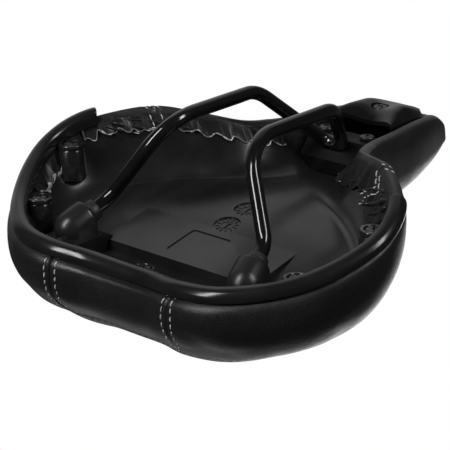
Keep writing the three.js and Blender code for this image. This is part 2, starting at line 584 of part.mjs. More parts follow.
// face of the cap: across -1..1, along 0..1 from its rear edge to its front edge
function capPoint(across, along) {
  const rear = CAP.y0 + CAP.notch * (1 - across * across);
  const y = rear + along * (CAP.y1 - rear);
  const [rimX, , rimZ] = rimAt(neckStation(y + CAP.inset / 2));
  const halfW = Math.max(0.4, rimX - CAP.inset) * Math.sqrt(Math.max(0.0016, 1 - along ** 9));
  const flat = CAP.z0 + CAP.fall * (Math.hypot(Math.max(0, y - CAP.knee), 3) - 3)
    + CAP.lip * Math.max(0, 1 - along / CAP.lipRun) ** 2;
  return V(across * halfW, y, flat + Math.max(0, rimZ - 0.6 - flat) * Math.abs(across) ** 6);
}
function noseCap() {
  const ts = [0, 0.03, 0.06, 0.1, 0.22, 0.34, 0.46, 0.58, 0.7, 0.8, 0.88, 0.94, 0.98, 1];
  const ss = [-1, -0.94, -0.84, -0.6, -0.3, 0, 0.3, 0.6, 0.84, 0.94, 1];
  const face = ts.map((t) => ss.map((q) => capPoint(q, t)));
  const back = face.map((row) => row.map((p) => V(p.x, p.y, p.z + CAP.t)));
  let cap = toSolid(shell(face, back, false, false));
  const z = CAP.z0;
  cap = cap.add(toSolid(peg(5.6, z + 0.3, z + 3.4, 16, 0, CAP.screwY)))
    .subtract(toSolid(peg(SCREW_HEAD_R + 0.5, z - 6, z + 1.6, 16, 0, CAP.screwY)))
    .subtract(toSolid(peg(SCREW_SHANK_R + FIT, z - 6, z + 20, 10, 0, CAP.screwY)));
  return fromSolid(cap);
}
function hem(side, [from, to]) {
  const count = Math.ceil((to - from) / 0.4);
  const list = Array.from({ length: count + 1 }, (_, i) => from + ((to - from) * i) / count);
  const ds = [0.9, 3, 5.5, HEM_W];
  const face = grid(list, ds, dishPoint);
  const nrm = normals(list, ds, dishPoint);
  const g = shell(moved(face, nrm, 0.4), moved(face, nrm, -FIT - HEM_T), false, false);
  return fromSolid(toSolid(side > 0 ? g : mirrored(g)).subtract(dishSolid(-FIT, 12)));
}

// ---------- assembly ----------
const group = new THREE.Group();
group.name = 'seat';
function piece(name, geometry, color, roughness, metalness) {
  const g = clean(geometry);
  g.computeVertexNormals();
  const mesh = new THREE.Mesh(g, new THREE.MeshStandardMaterial({ color, roughness, metalness }));
  mesh.name = name;
  group.add(mesh);
}
const COVER_COLOR = 0x232325;
const PAN_COLOR = 0x1b1b1d;
const TRIM_COLOR = 0x1a1a1c;
const SCREW_COLOR = 0x2b2b2d;

piece('base_pan', basePan(), PAN_COLOR, 0.32, 0);
piece('foam_pad', foamPad(), 0xb9b39c, 0.95, 0);
const FULL = 2 * LAST;
piece('cover_rear_panel', coverPatch(stationsBetween(FULL - REAR_SEAM, FULL + REAR_SEAM), sidePanelK, false, false),
  COVER_COLOR, 0.5, 0);
piece('cover_right_panel', coverPatch(stationsBetween(REAR_SEAM, SIDE_SEAM), sidePanelK, false, false),
  COVER_COLOR, 0.5, 0);
piece('cover_nose_panel', coverPatch(stationsBetween(SIDE_SEAM, FULL - SIDE_SEAM), sidePanelK, false, false),
  COVER_COLOR, 0.45, 0);
piece('cover_left_panel', coverPatch(stationsBetween(FULL - SIDE_SEAM, FULL - REAR_SEAM), sidePanelK, false, false),
  COVER_COLOR, 0.5, 0);
piece('cover_top_panel', coverPatch(loop, topPanelK, true, true), COVER_COLOR, 0.55, 0);
for (const [end, stretch] of Object.entries(HEMS)) {
  piece(`hem_right_${end}`, hem(1, stretch), COVER_COLOR, 0.6, 0);
  piece(`hem_left_${end}`, hem(-1, stretch), COVER_COLOR, 0.6, 0);
}
piece('rear_trim', rearTrimWithPosts(), TRIM_COLOR, 0.35, 0);
allTrimScrews.forEach(([x, y, z, , length], i) => {
  piece(`trim_screw_${i + 1}`, screw(x, y, z + 1.9 - FIT, length), SCREW_COLOR, 0.35, 0.9);
});
piece('rail', rail(RAIL_R, 0), 0x121214, 0.2, 0.6);
piece('rail_socket_right', socket(), PAN_COLOR, 0.3, 0);
piece('rail_socket_left', mirrored(socket()), PAN_COLOR, 0.3, 0);
piece('rail_sleeve_right', railSleeve(), 0x303032, 0.45, 0);
piece('rail_sleeve_left', mirrored(railSleeve()), 0x303032, 0.45, 0);
piece('nose_anchor', noseAnchor(), PAN_COLOR, 0.4, 0);
for (const side of [1, -1]) {
  piece(`anchor_screw_${side > 0 ? 'right' : 'left'}`,
    screw(side * ANCHOR.screwX, ANCHOR.screwY, ANCHOR.z0 - FIT, SCREW_LEN), SCREW_COLOR, 0.35, 0.9);
}
piece('nose_cap', noseCap(), 0x161618, 0.15, 0);
piece('nose_cap_screw', screw(0, CAP.screwY, CAP.z0 + 1.6 - FIT, SCREW_LEN + 2),
  SCREW_COLOR, 0.35, 0.9);

export default group;
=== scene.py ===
"""Looks of a wide two-rail saddle, in its in-use position; the camera sees it from below and behind.

Lengths inside this file are millimetres in the row frame (+X rider's right, +Y nose, +Z cushion up);
mesh_piece() turns them into metres.
"""
import math

import bmesh
import bpy
import numpy as np
from mathutils import Matrix, Vector, kdtree


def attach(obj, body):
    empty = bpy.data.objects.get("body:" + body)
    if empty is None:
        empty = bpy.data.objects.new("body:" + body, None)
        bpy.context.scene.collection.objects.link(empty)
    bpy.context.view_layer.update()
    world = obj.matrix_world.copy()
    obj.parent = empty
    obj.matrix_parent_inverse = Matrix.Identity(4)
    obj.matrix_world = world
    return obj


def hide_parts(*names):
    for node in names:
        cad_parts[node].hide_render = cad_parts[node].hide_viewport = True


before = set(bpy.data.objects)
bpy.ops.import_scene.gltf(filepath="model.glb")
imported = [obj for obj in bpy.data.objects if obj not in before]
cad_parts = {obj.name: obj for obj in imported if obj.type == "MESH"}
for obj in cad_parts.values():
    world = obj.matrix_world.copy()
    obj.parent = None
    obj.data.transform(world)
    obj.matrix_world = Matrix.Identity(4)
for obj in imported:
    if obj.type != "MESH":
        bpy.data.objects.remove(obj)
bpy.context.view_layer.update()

MM = 0.001
BODY = "root"
SIDES = ((1, "right"), (-1, "left"))

# ---------- driving dimensions, the same as the CAD part's ----------
ROD_R = 3.3                     # rod with its paint, inside the CAD bar's flats
RAIL_HALF_GAP = 22.0
CLAMP_HALF = 31.6
FRONT_CORNER_RISE = 1.1         # the rod's front bends sit a little nearer the pan
COVER_T = 1.2
PAN_T = 2.6
WRAP_IN = 3.4
PAN_LIP_DROP = 2.2
CROWN_POWER = 2.4
CHANNEL = 3.2
REAR_SEAM = 1.86
SIDE_SEAM = 9.9
TOP_SEAM = 0.62
ROLL = 0.3
TRIM_END_RIGHT, TRIM_END_LEFT = 8.82, 8.52
WALL_W = 24.0

# rim: x, y, z, bulge beyond it, height of the bulge, y of the spine point opposite, drop below the trim
RIM = np.array([
    [0, -89.3, 47.0, 5.4, 8.5, -42, 2.5], [18, -90.3, 46.4, 5.4, 9.1, -41.4, 2.5],
    [36, -94.3, 44.4, 5.4, 11.1, -39.9, 2.5], [53.4, -92, 43, 5.3, 12, -37.4, 2.5],
    [69, -81.2, 41, 5.0, 12, -34, 2.5], [81, -67.4, 37.5, 4.5, 12, -30, 2.5],
    [90.2, -51.6, 31.5, 3.8, 12, -24, 2.5], [94.8, -36, 25, 3.2, 12, -17, 2.5],
    [92.4, -21.2, 18.5, 3.3, 13, -9, 2.5], [83.6, -8, 14.2, 3.8, 14, 0, 2.1],
    [66.5, 9.5, 12.8, 4.2, 15, 9, 0], [48, 24, 16.3, 4.4, 17, 20, 0], [35, 40, 21.2, 4.6, 19, 36, 0],
    [28.4, 59, 23.2, 5.2, 20, 57, 0], [25.2, 80, 25, 5.2, 20, 79, 0], [22.4, 102, 26, 4.8, 19, 99, 0],
    [18.4, 121, 28.6, 4.3, 17, 115, 0], [11, 137.5, 32.8, 6.0, 14, 124, 0],
    [0, 147, 37, 11, 12, 127.5, 0]], float)
LAST = len(RIM) - 1
FULL = 2 * LAST
TOP_LINE = np.array([[-100, 84], [-70, 87], [-45, 86], [-20, 82.5], [5, 78], [35, 72], [70, 66.5],
                     [105, 61.8], [130, 56.6], [170, 47]], float)
FLOOR_LINE = np.array([[-100, 61], [-60, 60], [-47, 58], [-30, 52], [-10, 46.6], [15, 43.5], [45, 44],
                       [75, 47], [110, 48], [150, 47]], float)
TRIM_SECTION = [[3.0, 3.0], [3.5, 1.4], [2.9, -0.8], [1.3, -2.5], [-0.9, -3.2], [-3.1, -2.9],
                [-4.6, -1.4], [-5.0, 1.2], [-5.0, 5.2], [-4.1, 5.2], [-3.4, 1.8], [0.4, 1.6]]
FOOT_SECTION = [[-4.4, 0.2], [-6.4, 0.2], [-6.9, 0.7], [-7.1, 4.0], [-16.8, 4.4], [-17.6, 5.0],
                [-17.6, 9.0], [-4.4, 9.0]]
FOOT_END = 2.75
BEAD_SCALE = 0.93
END_ROUND = 1.4
# x, y, z of the ring face, ring radius
TRIM_POSTS = [[85.6, -28, 25.6, 6.1], [72.8, -63.5, 39.2, 6.1], [38, -82, 48.6, 5.2], [0, -75.5, 50.6, 5.2]]
POST_H = 17.0
SCREW_HEAD_R = 3.6
SCREW_HEAD_H = 2.2
CROSS_W, CROSS_L, CROSS_D = 0.95, 4.2, 2.6
SCREW_SEAT = 1.9                # a screw head sits this deep in its ring
SOCKET = {"x": 49.2, "front": -58.2, "r": 7.7, "length": 18.5, "dome": 8.6, "pad_z": 50.6}
ANCHOR_SCREWS = (12.0, 76.0, 29.5)
STEP = {"half_w": 43.0, "y": -53.5, "z": 54.6, "run": 33.5, "fall": 5.3}
CAP = {"y0": 85.0, "y1": 142.6, "z0": 20.0, "knee": 108.0, "fall": 0.42, "inset": 4.5, "t": 2.2,
       "screw_y": 105.0, "notch": 9.0, "lip": 4.5, "lip_run": 0.20, "dip": 2.0}
LABEL = {"w": 22.0, "l": 20.0, "y": -37.5, "depth": 0.5, "corner": 1.6}
STAMPS = [[-17.6, 48.4, 0.2], [-2.4, 45.5, 0.17]]       # y, z, tilt
STAMP_R = 6.4


# ---------- shape of the seat ----------
def unit(v):
    return v / np.maximum(np.linalg.norm(v, axis=-1, keepdims=True), 1e-12)


def spline(a, b, c, d, t):
    """Point between b and c of the smooth curve through a, b, c and d."""
    return 0.5 * (2 * b + (c - a) * t + (2 * a - 5 * b + 4 * c - d) * t**2 + (3 * b - a - 3 * c + d) * t**3)


def smoothstep(x, a, b):
    t = np.clip((x - a) / (b - a), 0, 1)
    return t * t * (3 - 2 * t)


def bell(x, width):
    return np.exp(-((x / width) ** 2))


def along_line(line, y):
    """Smooth height along a list of y, z rows."""
    slope = np.empty(len(line))
    slope[1:-1] = (line[2:, 1] - line[:-2, 1]) / (line[2:, 0] - line[:-2, 0])
    slope[[0, -1]] = np.diff(line[:, 1])[[0, -1]] / np.diff(line[:, 0])[[0, -1]]
    y = np.clip(y, line[0, 0], line[-1, 0] - 1e-9)
    i = np.searchsorted(line[:, 0], y, side="right") - 1
    h = line[i + 1, 0] - line[i, 0]
    t = (y - line[i, 0]) / h
    return (line[i, 1] * (2 * t**3 - 3 * t**2 + 1) + slope[i] * h * (t**3 - 2 * t**2 + t)
            + line[i + 1, 1] * (3 * t**2 - 2 * t**3) + slope[i + 1] * h * (t**3 - t**2))


def rim_at(s):
    """Rim row at station s: 0 rear centre, 18 nose tip, 36 rear centre again by the left side."""
    s = np.asarray(s, float) % FULL
    q = np.where(s > LAST, FULL - s, s)
    i = np.minimum(np.floor(q).astype(int), LAST - 1)
    rows = []
    for k in (-1, 0, 1, 2):
        j = np.where(i + k < 0, -(i + k), np.where(i + k > LAST, FULL - i - k, i + k))
        row = RIM[j].copy()
        row[..., 0] *= np.where(j == i + k, 1, -1)
        rows.append(row)
    row = spline(*rows, (q - i)[..., None])
    row[..., 0] *= np.where(s > LAST, -1.0, 1.0)
    return row


class Station:
    """Rim point, outward and inward directions at every station of s."""

    def __init__(self, s):
        s = np.asarray(s, float)
        x, y, z, self.bulge, self.bulge_h, self.spine_y, drop = np.moveaxis(rim_at(s), -1, 0)
        step = rim_at(s + 0.02)[..., :2] - rim_at(s - 0.02)[..., :2]
        zero = np.zeros_like(x)
        self.p = np.stack([x, y, z], -1)
        self.out = unit(np.stack([step[..., 1], -step[..., 0], zero], -1))
        self.dist = np.hypot(x, y - self.spine_y)
        self.inward = np.stack([-x, self.spine_y - y, zero], -1) / self.dist[..., None]
        self.low = z + drop

    def place(self, rho, z):
        way = np.where((rho >= 0)[..., None], self.out * rho[..., None], -self.inward * rho[..., None])
        p = self.p + way
        return np.stack([p[..., 0], p[..., 1], z + 0 * rho], -1)


def cover_base(s, k):
    """Outer face of the cover: k 0 at its edge inside the rim, 1 on the spine."""
    s, k = np.broadcast_arrays(np.asarray(s, float), np.asarray(k, float))
    f = Station(s)
    zc = f.p[..., 2] + f.bulge_h
    rho = np.stack([np.full_like(zc, -WRAP_IN), np.full_like(zc, -1.2), 0.3 * f.bulge + 1.2,
                    0.82 * f.bulge + 0.4, f.bulge], -1)
    hgt = np.stack([f.low + 0.3, f.low - 0.5, f.low + 1.2, f.low + 0.42 * (zc - f.low), zc], -1)
    u = np.clip(k / ROLL, 0, 1) * 4
    i = np.minimum(u.astype(int), 3)
    roll = []
    for v in (rho, hgt):
        ext = np.concatenate([2 * v[..., :1] - v[..., 1:2], v, 2 * v[..., -1:] - v[..., -2:-1]], -1)
        four = [np.take_along_axis(ext, (i + n)[..., None], -1)[..., 0] for n in range(4)]
        roll.append(spline(*four, u - i))
    angle = np.clip((k - ROLL) / (1 - ROLL), 0, 1) * math.pi / 2
    crown_rho = f.bulge - (f.dist + f.bulge) * (1 - np.cos(angle) ** (2 / CROWN_POWER))
    y = f.p[..., 1] + (f.spine_y - f.p[..., 1]) * np.clip(-crown_rho / f.dist, 0, 1)
    middle = np.maximum(0, 1 + crown_rho / f.dist)
    relief = CHANNEL * np.maximum(0, 1 - middle / 0.42) ** 2 * np.minimum(1, f.dist / 60)
    crown_z = zc + (along_line(TOP_LINE, y) - zc) * np.sin(angle) ** (2 / CROWN_POWER) - relief
    in_roll = k < ROLL
    return f.place(np.where(in_roll, roll[0], crown_rho), np.where(in_roll, roll[1], crown_z))


def dish_base(s, d):
    """Inner face of the pan, d inside its edge along the inward direction."""
    s, d = np.broadcast_arrays(np.asarray(s, float), np.asarray(d, float))
    f = Station(s)
    start = f.low + PAN_LIP_DROP
    y = f.p[..., 1] + (f.spine_y - f.p[..., 1]) * np.minimum(1, (WRAP_IN + d) / f.dist)
    w = np.minimum(WALL_W, 0.86 * (f.dist - WRAP_IN))
    g = 1 - np.clip(1 - d / w, 0, 1) ** 2.3
    return f.place(-WRAP_IN - d, start + (along_line(FLOOR_LINE, y) - start) * g)


def dish_share(s, t):
    return dish_base(s, np.asarray(t) * (Station(s).dist - WRAP_IN))


# length along the bulging side, at RUN_K, to place things a given distance from a seam
def lengths(points):
    """Length along a line of points, at each of them."""
    return np.concatenate([[0], np.cumsum(np.linalg.norm(np.diff(points, axis=0), axis=1))])


def at_lengths(where, length, values):
    return np.stack([np.interp(where, length, values[:, i]) for i in range(3)], -1)


RUN_K = 0.24
RUN_S = np.linspace(0, FULL, 3601)
RUN_L = lengths(cover_base(RUN_S, np.full_like(RUN_S, RUN_K)))


def run(s):
    return np.interp(np.asarray(s) % FULL, RUN_S, RUN_L)


def station_at(length):
    return np.interp(np.asarray(length) % RUN_L[-1], RUN_L, RUN_S)


SEAMS = [REAR_SEAM, SIDE_SEAM, FULL - SIDE_SEAM, FULL - REAR_SEAM]


def from_seams(s):
    """Distance in millimetres to the nearest upright seam."""
    gap = np.abs(run(s)[..., None] - run(np.array(SEAMS)))
    return np.minimum(gap, RUN_L[-1] - gap).min(-1)


def outward(points_fn, s, k, ds=0.01, dk=0.002):
    """Unit normals of a surface given over s and k."""
    s, k = np.broadcast_arrays(np.asarray(s, float), np.asarray(k, float))
    k_hi, k_lo = np.minimum(k + dk, 1), np.maximum(k - dk, 0)
    along = points_fn(s + ds, k) - points_fn(s - ds, k)
    n = unit(np.cross(along, points_fn(s, k_hi) - points_fn(s, k_lo)))
    flat = np.zeros_like(n)
    flat[..., 2] = 1
    return np.where((k > 0.995)[..., None], flat, n)


# ---------- mesh helpers ----------
WELD = 2e-6                     # metres


def finish_mesh(obj, sharp_deg):
    """Welded, facing out, smooth except over sharp edges."""
    bm = bmesh.new()
    bm.from_mesh(obj.data)
    bmesh.ops.remove_doubles(bm, verts=bm.verts, dist=WELD)
    bmesh.ops.dissolve_degenerate(bm, edges=bm.edges, dist=1e-7)
    bmesh.ops.recalc_face_normals(bm, faces=bm.faces)
    limit = math.radians(sharp_deg)
    for e in bm.edges:
        e.smooth = len(e.link_faces) == 2 and e.calc_face_angle(0.0) < limit
    for face in bm.faces:
        face.smooth = True
    bm.to_mesh(obj.data)
    bm.free()


def raw_object(name, verts, faces):
    me = bpy.data.meshes.new(name)
    me.from_pydata((np.asarray(verts, float).reshape(-1, 3) * MM).tolist(), [], faces)
    obj = bpy.data.objects.new(name, me)
    bpy.context.scene.collection.objects.link(obj)
    return obj


def bevel_edges(obj, width):
    bm = bmesh.new()
    bm.from_mesh(obj.data)
    bmesh.ops.remove_doubles(bm, verts=bm.verts, dist=WELD)
    bmesh.ops.recalc_face_normals(bm, faces=bm.faces)
    edges = [e for e in bm.edges if e.calc_face_angle(0.0) > math.radians(30)]
    bmesh.ops.bevel(bm, geom=edges, offset=width * MM, segments=3, profile=0.6, affect="EDGES")
    bm.to_mesh(obj.data)
    bm.free()


def mesh_piece(name, verts, faces, material, slot, stands_for=(), sharp_deg=38.0, bevel=None, cut=()):
    """One finished piece on the body, with its material and the CAD nodes it replaces; slot is not used."""
    obj = raw_object(name, verts, faces)
    if bevel:
        bevel_edges(obj, bevel)
    for cutter, operation in cut:
        finish_mesh(obj, sharp_deg)
        carve(obj, cutter, operation)
    finish_mesh(obj, sharp_deg)
    obj.data.materials.clear()
    obj.data.materials.append(material)
    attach(obj, BODY)
    if stands_for:
        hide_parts(*stands_for)
    return obj


def carve(obj, cutter, operation):
    finish_mesh(cutter, 30.0)
    mod = obj.modifiers.new("carve", "BOOLEAN")
    mod.object, mod.operation, mod.solver = cutter, operation, "EXACT"
    mod.use_self = True
    settle(obj)
    bpy.data.objects.remove(cutter)


def settle(obj):
    """Applies the object's modifiers."""
    graph = bpy.context.evaluated_depsgraph_get()
    done = bpy.data.meshes.new_from_object(obj.evaluated_get(graph))
    obj.modifiers.clear()
    obj.data = done


def grid_faces(n, m, start=0, closed=False, flip=False):
    i, j = np.meshgrid(np.arange(n if closed else n - 1), np.arange(m - 1), indexing="ij")
    k = (i + 1) % n
    quads = np.stack([i * m + j, k * m + j, k * m + j + 1, i * m + j + 1], -1).reshape(-1, 4) + start
    return (quads[:, ::-1] if flip else quads).tolist()


def slab(outer, inner, closed=False, zipped=False):
    """Closed sheet between two grids of points."""
    n, m = outer.shape[:2]
    off = n * m
    faces = grid_faces(n, m, 0, closed) + grid_faces(n, m, off, closed, True)
    for i in range(n if closed else n - 1):
        k = (i + 1) % n
        faces.append([i * m, off + i * m, off + k * m, k * m])
        if not zipped:
            faces.append([i * m + m - 1, k * m + m - 1, off + k * m + m - 1, off + i * m + m - 1])
    if not closed:
        for j in range(m - 1):
            faces.append([j, j + 1, off + j + 1, off + j])
            e = (n - 1) * m
            faces.append([e + j, off + e + j, off + e + j + 1, e + j + 1])
    return np.concatenate([outer.reshape(-1, 3), inner.reshape(-1, 3)]), faces


def tube(rings, caps=True):
    """Skin over rings of points; each end closed by a polygon."""
    n, m = rings.shape[:2]
    faces = []
    for i in range(n - 1):
        for j in range(m):
            q = (j + 1) % m
            faces.append([i * m + j, i * m + q, (i + 1) * m + q, (i + 1) * m + j])
    if caps:
        faces.append(list(range(m))[::-1])
        faces.append([(n - 1) * m + j for j in range(m)])
    return rings.reshape(-1, 3), faces


def sweep(path, radius, sides=24):
    """Round tube along a path with a radius for each point."""
    path = np.asarray(path, float)
    tangent = unit(np.gradient(path, axis=0))
    side = np.zeros_like(path)
    first = np.array([0.0, 0.0, 1.0])
    first = first - tangent[0] * (first @ tangent[0])
    if np.linalg.norm(first) < 1e-3:
        first = np.cross(tangent[0], [1.0, 0.3, 0.2])
    side[0] = unit(first)
    for i in range(1, len(path)):
        v = side[i - 1] - tangent[i] * (side[i - 1] @ tangent[i])
        side[i] = unit(v)
    up = np.cross(tangent, side)
    a = np.linspace(0, 2 * math.pi, sides, endpoint=False)
    r = np.broadcast_to(np.asarray(radius, float), (len(path),))[:, None, None]
    c, s = np.cos(a)[None, :, None], np.sin(a)[None, :, None]
    return tube(path[:, None] + r * (side[:, None] * c + up[:, None] * s))


def lathe(profile, sides=40):
    """Turned solid about Z; its profile of radius, z runs from axis to axis, or closes on itself."""
    profile = np.asarray(profile, float)
    a = np.linspace(0, 2 * math.pi, sides, endpoint=False)
    rings = np.stack([profile[:, :1] * np.cos(a), profile[:, :1] * np.sin(a),
                      np.broadcast_to(profile[:, 1:], (len(profile), sides))], -1)
    return tube(rings, caps=not np.allclose(profile[0], profile[-1]))


def join(parts):
    """Several (verts, faces) in one."""
    verts, faces, start = [], [], 0
    for v, f in parts:
        verts.append(np.asarray(v, float).reshape(-1, 3))
        faces.extend([[int(q) + start for q in face] for face in f])
        start += len(verts[-1])
    return np.concatenate(verts), faces


def turned_to(verts, direction, at, ref=(0, 0, 1)):
    """Puts a shape made about +Z at a point, its +Z along direction."""
    w = unit(np.asarray(direction, float))
    u = np.cross(np.asarray(ref, float), w)
    u = unit(u) if np.linalg.norm(u) > 1e-6 else np.array([1.0, 0, 0])
    v = np.cross(w, u)
    return np.asarray(verts) @ np.stack([u, v, w]) + np.asarray(at, float)


def about_x(verts, angle):
    c, s = math.cos(angle), math.sin(angle)
    return verts @ np.array([[1, 0, 0], [0, c, -s], [0, s, c]])


def about_z(verts, angle):
    c, s = math.cos(angle), math.sin(angle)
    return verts @ np.array([[c, s, 0], [-s, c, 0], [0, 0, 1]])


def block(size, centre=(0, 0, 0)):
    x, y, z = np.asarray(size, float) / 2
    v = np.array([[a, b, c] for a in (-x, x) for b in (-y, y) for c in (-z, z)])
    faces = [[0, 1, 3, 2], [4, 6, 7, 5], [0, 4, 5, 1], [2, 3, 7, 6], [0, 2, 6, 4], [1, 5, 7, 3]]
    return v + np.asarray(centre, float), faces


def wave(s, seed, terms=5, low=3.0, high=14.0):
    """Smooth repeatable noise over a length, about -1..1."""
    rng = np.random.RandomState(seed)
    total = np.zeros_like(np.asarray(s, float))
    for _ in range(terms):
        period = rng.uniform(low, high)
        total = total + np.sin(np.asarray(s) * 2 * math.pi / period + rng.uniform(0, 2 * math.pi)) / terms
    return total * 1.6


# ---------- materials ----------
class Tree:
    """Small helper that writes a node tree."""

    def __init__(self, tree):
        self.tree = tree

    def add(self, kind, **values):
        node = self.tree.nodes.new(kind)
        for key, value in values.items():
            if isinstance(getattr(node, key, None), (str, bool)) and key not in node.inputs:
                setattr(node, key, value)
            else:
                node.inputs[key.replace("_", " ")].default_value = value
        return node

    def link(self, a, b):
        self.tree.links.new(a, b)


class Nodes(Tree):
    """Node tree of a material."""

    def __init__(self, name):
        self.material = bpy.data.materials.new(name)
        self.material.use_nodes = True
        super().__init__(self.material.node_tree)
        self.shader = next(n for n in self.tree.nodes if n.type == "BSDF_PRINCIPLED")
        self.coords = self.add("ShaderNodeTexCoord").outputs["Object"]

    def noise(self, scale, detail=3.0, rough=0.55):
        node = self.add("ShaderNodeTexNoise", Scale=scale, Detail=detail, Roughness=rough)
        self.link(self.coords, node.inputs["Vector"])
        return node.outputs[0]

    def mapped(self, value, a, b, lo=0.0, hi=1.0):
        node = self.add("ShaderNodeMapRange", From_Min=a, From_Max=b, To_Min=lo, To_Max=hi)
        self.link(value, node.inputs["Value"])
        return node.outputs[0]

    def product(self, a, b):
        node = self.add("ShaderNodeMath", operation="MULTIPLY")
        self.link(a, node.inputs[0])
        self.link(b, node.inputs[1])
        return node.outputs[0]

    def mix(self, factor, a, b):
        node = self.add("ShaderNodeMix", data_type="RGBA")
        self.link(factor, node.inputs["Factor"])
        for socket, v in ((node.inputs[6], a), (node.inputs[7], b)):
            if isinstance(v, tuple):
                socket.default_value = (*v, 1.0)
            else:
                self.link(v, socket)
        return node.outputs[2]

    def bump(self, height, strength, distance_mm, after=None):
        node = self.add("ShaderNodeBump", Strength=strength, Distance=distance_mm * MM)
        self.link(height, node.inputs["Height"])
        if after is not None:
            self.link(after, node.inputs["Normal"])
        return node.outputs[0]

    def shade(self, **sockets):
        for key, value in sockets.items():
            socket = self.shader.inputs[key.replace("_", " ")]
            if isinstance(value, bpy.types.NodeSocket):
                self.link(value, socket)
            else:
                socket.default_value = (*value, 1.0) if isinstance(value, tuple) else value
        return self.material


def grey(level, tint=0.0005):
    """Colour a little bluer than neutral."""
    return (level, level, level + tint)


def pebbled_leather(name, dark, light, roughness, depth):
    """Coated synthetic leather: fine irregular pebbles, the creases between them darkened with painted shade,
    slight polish on worn places.
    """
    m = Nodes(name)
    wobble = m.add("ShaderNodeTexNoise", Scale=420.0, Detail=2.0)
    m.link(m.coords, wobble.inputs["Vector"])
    warp = m.add("ShaderNodeVectorMath", operation="MULTIPLY_ADD")
    m.link(wobble.outputs["Color"], warp.inputs[0])
    warp.inputs[1].default_value = (0.0011,) * 3
    m.link(m.coords, warp.inputs[2])
    cells = m.add("ShaderNodeTexVoronoi", feature="DISTANCE_TO_EDGE", Scale=820.0)
    m.link(warp.outputs[0], cells.inputs["Vector"])
    pebble = m.mapped(cells.outputs["Distance"], 0.0, 0.22)
    tone = m.mix(m.mapped(m.noise(26.0), 0.35, 0.7), dark, light)
    # painted shade: the colour falls to about half in the creases between pebbles
    tone = m.mix(m.mapped(pebble, 0.0, 0.7), tuple(0.55 * c for c in dark), tone)
    gloss = m.mapped(m.noise(60.0), 0.3, 0.75, roughness - 0.05, roughness + 0.09)
    folds = m.bump(m.noise(120.0, 4.0), 0.12, 0.5)
    return m.shade(Base_Color=tone, Roughness=gloss, Normal=m.bump(pebble, 0.32, depth, folds),
                   Specular_IOR_Level=0.5)


def moulded_plastic(name, dark, light, rough_lo, rough_hi, grain, coat=0.0, wear=None, shine=0.5, tint=0.0005):
    """Moulded plastic: cloudy grey, fine skin, flow streaks, edges rubbed lighter."""
    m = Nodes(name)
    stretch = m.add("ShaderNodeMapping", Scale=(1.0, 0.22, 1.0))
    m.link(m.coords, stretch.inputs["Vector"])
    flow = m.add("ShaderNodeTexNoise", Scale=70.0, Detail=5.0)
    m.link(stretch.outputs[0], flow.inputs["Vector"])
    tone = m.mix(m.mapped(flow.outputs[0], 0.38, 0.66), grey(dark, tint), grey(light, tint))
    if wear:
        rub = m.mapped(m.add("ShaderNodeNewGeometry").outputs["Pointiness"], 0.54, 0.64)
        spots = m.product(rub, m.mapped(m.noise(300.0), 0.45, 0.7))
        tone = m.mix(spots, tone, grey(wear, 0.0))
    gloss = m.mapped(m.noise(45.0, 5.0), 0.32, 0.7, rough_lo, rough_hi)
    skin = m.bump(m.noise(900.0, 2.0), 0.25, grain)
    return m.shade(Base_Color=tone, Roughness=gloss, Normal=m.bump(m.noise(38.0, 1.0), 0.10, 0.35, skin),
                   Coat_Weight=coat, Coat_Roughness=0.06, Specular_IOR_Level=shine)


def metal(name, dark, light, rough_lo, rough_hi):
    m = Nodes(name)
    tone = m.mix(m.mapped(m.noise(340.0, 4.0), 0.35, 0.7), dark, light)
    gloss = m.mapped(m.noise(500.0), 0.3, 0.7, rough_lo, rough_hi)
    return m.shade(Base_Color=tone, Roughness=gloss, Metallic=0.85,
                   Normal=m.bump(m.noise(1500.0), 0.2, 0.02))


def thread_material(name, dark, light):
    m = Nodes(name)
    twist = m.add("ShaderNodeTexWave", Scale=900.0, Distortion=1.5)
    m.link(m.coords, twist.inputs["Vector"])
    tone = m.mix(m.mapped(m.noise(160.0), 0.3, 0.7), dark, light)
    return m.shade(Base_Color=tone, Roughness=m.mapped(m.noise(800.0), 0.3, 0.7, 0.6, 0.8),
                   Normal=m.bump(twist.outputs[0], 0.5, 0.08))


def raw_edge_material(name, lo, hi, dark=0.16):
    """Cut edge of the cover sheet: pale knitted backing, dark coating over it in places."""
    m = Nodes(name)
    tone = m.mix(m.mapped(m.noise(260.0, 3.0), lo, hi), grey(dark, 0.0), (0.72, 0.72, 0.70))
    return m.shade(Base_Color=tone, Roughness=m.mapped(m.noise(900.0), 0.3, 0.7, 0.7, 0.9),
                   Normal=m.bump(m.noise(1400.0), 0.6, 0.12))


def foam_material():
    m = Nodes("foam_core")
    cells = m.add("ShaderNodeTexVoronoi", Scale=600.0)
    m.link(m.coords, cells.inputs["Vector"])
    tone = m.mix(m.mapped(m.noise(80.0), 0.3, 0.7), (0.40, 0.36, 0.26), (0.55, 0.50, 0.38))
    return m.shade(Base_Color=tone, Roughness=m.mapped(m.noise(200.0), 0.3, 0.7, 0.85, 0.95),
                   Normal=m.bump(cells.outputs["Distance"], 0.6, 0.3))


LEATHER = pebbled_leather("cover_leather", grey(0.0105), grey(0.019), 0.40, 0.10)
HEM_LEATHER = pebbled_leather("hem_leather", grey(0.012), grey(0.024, 0.001), 0.36, 0.08)
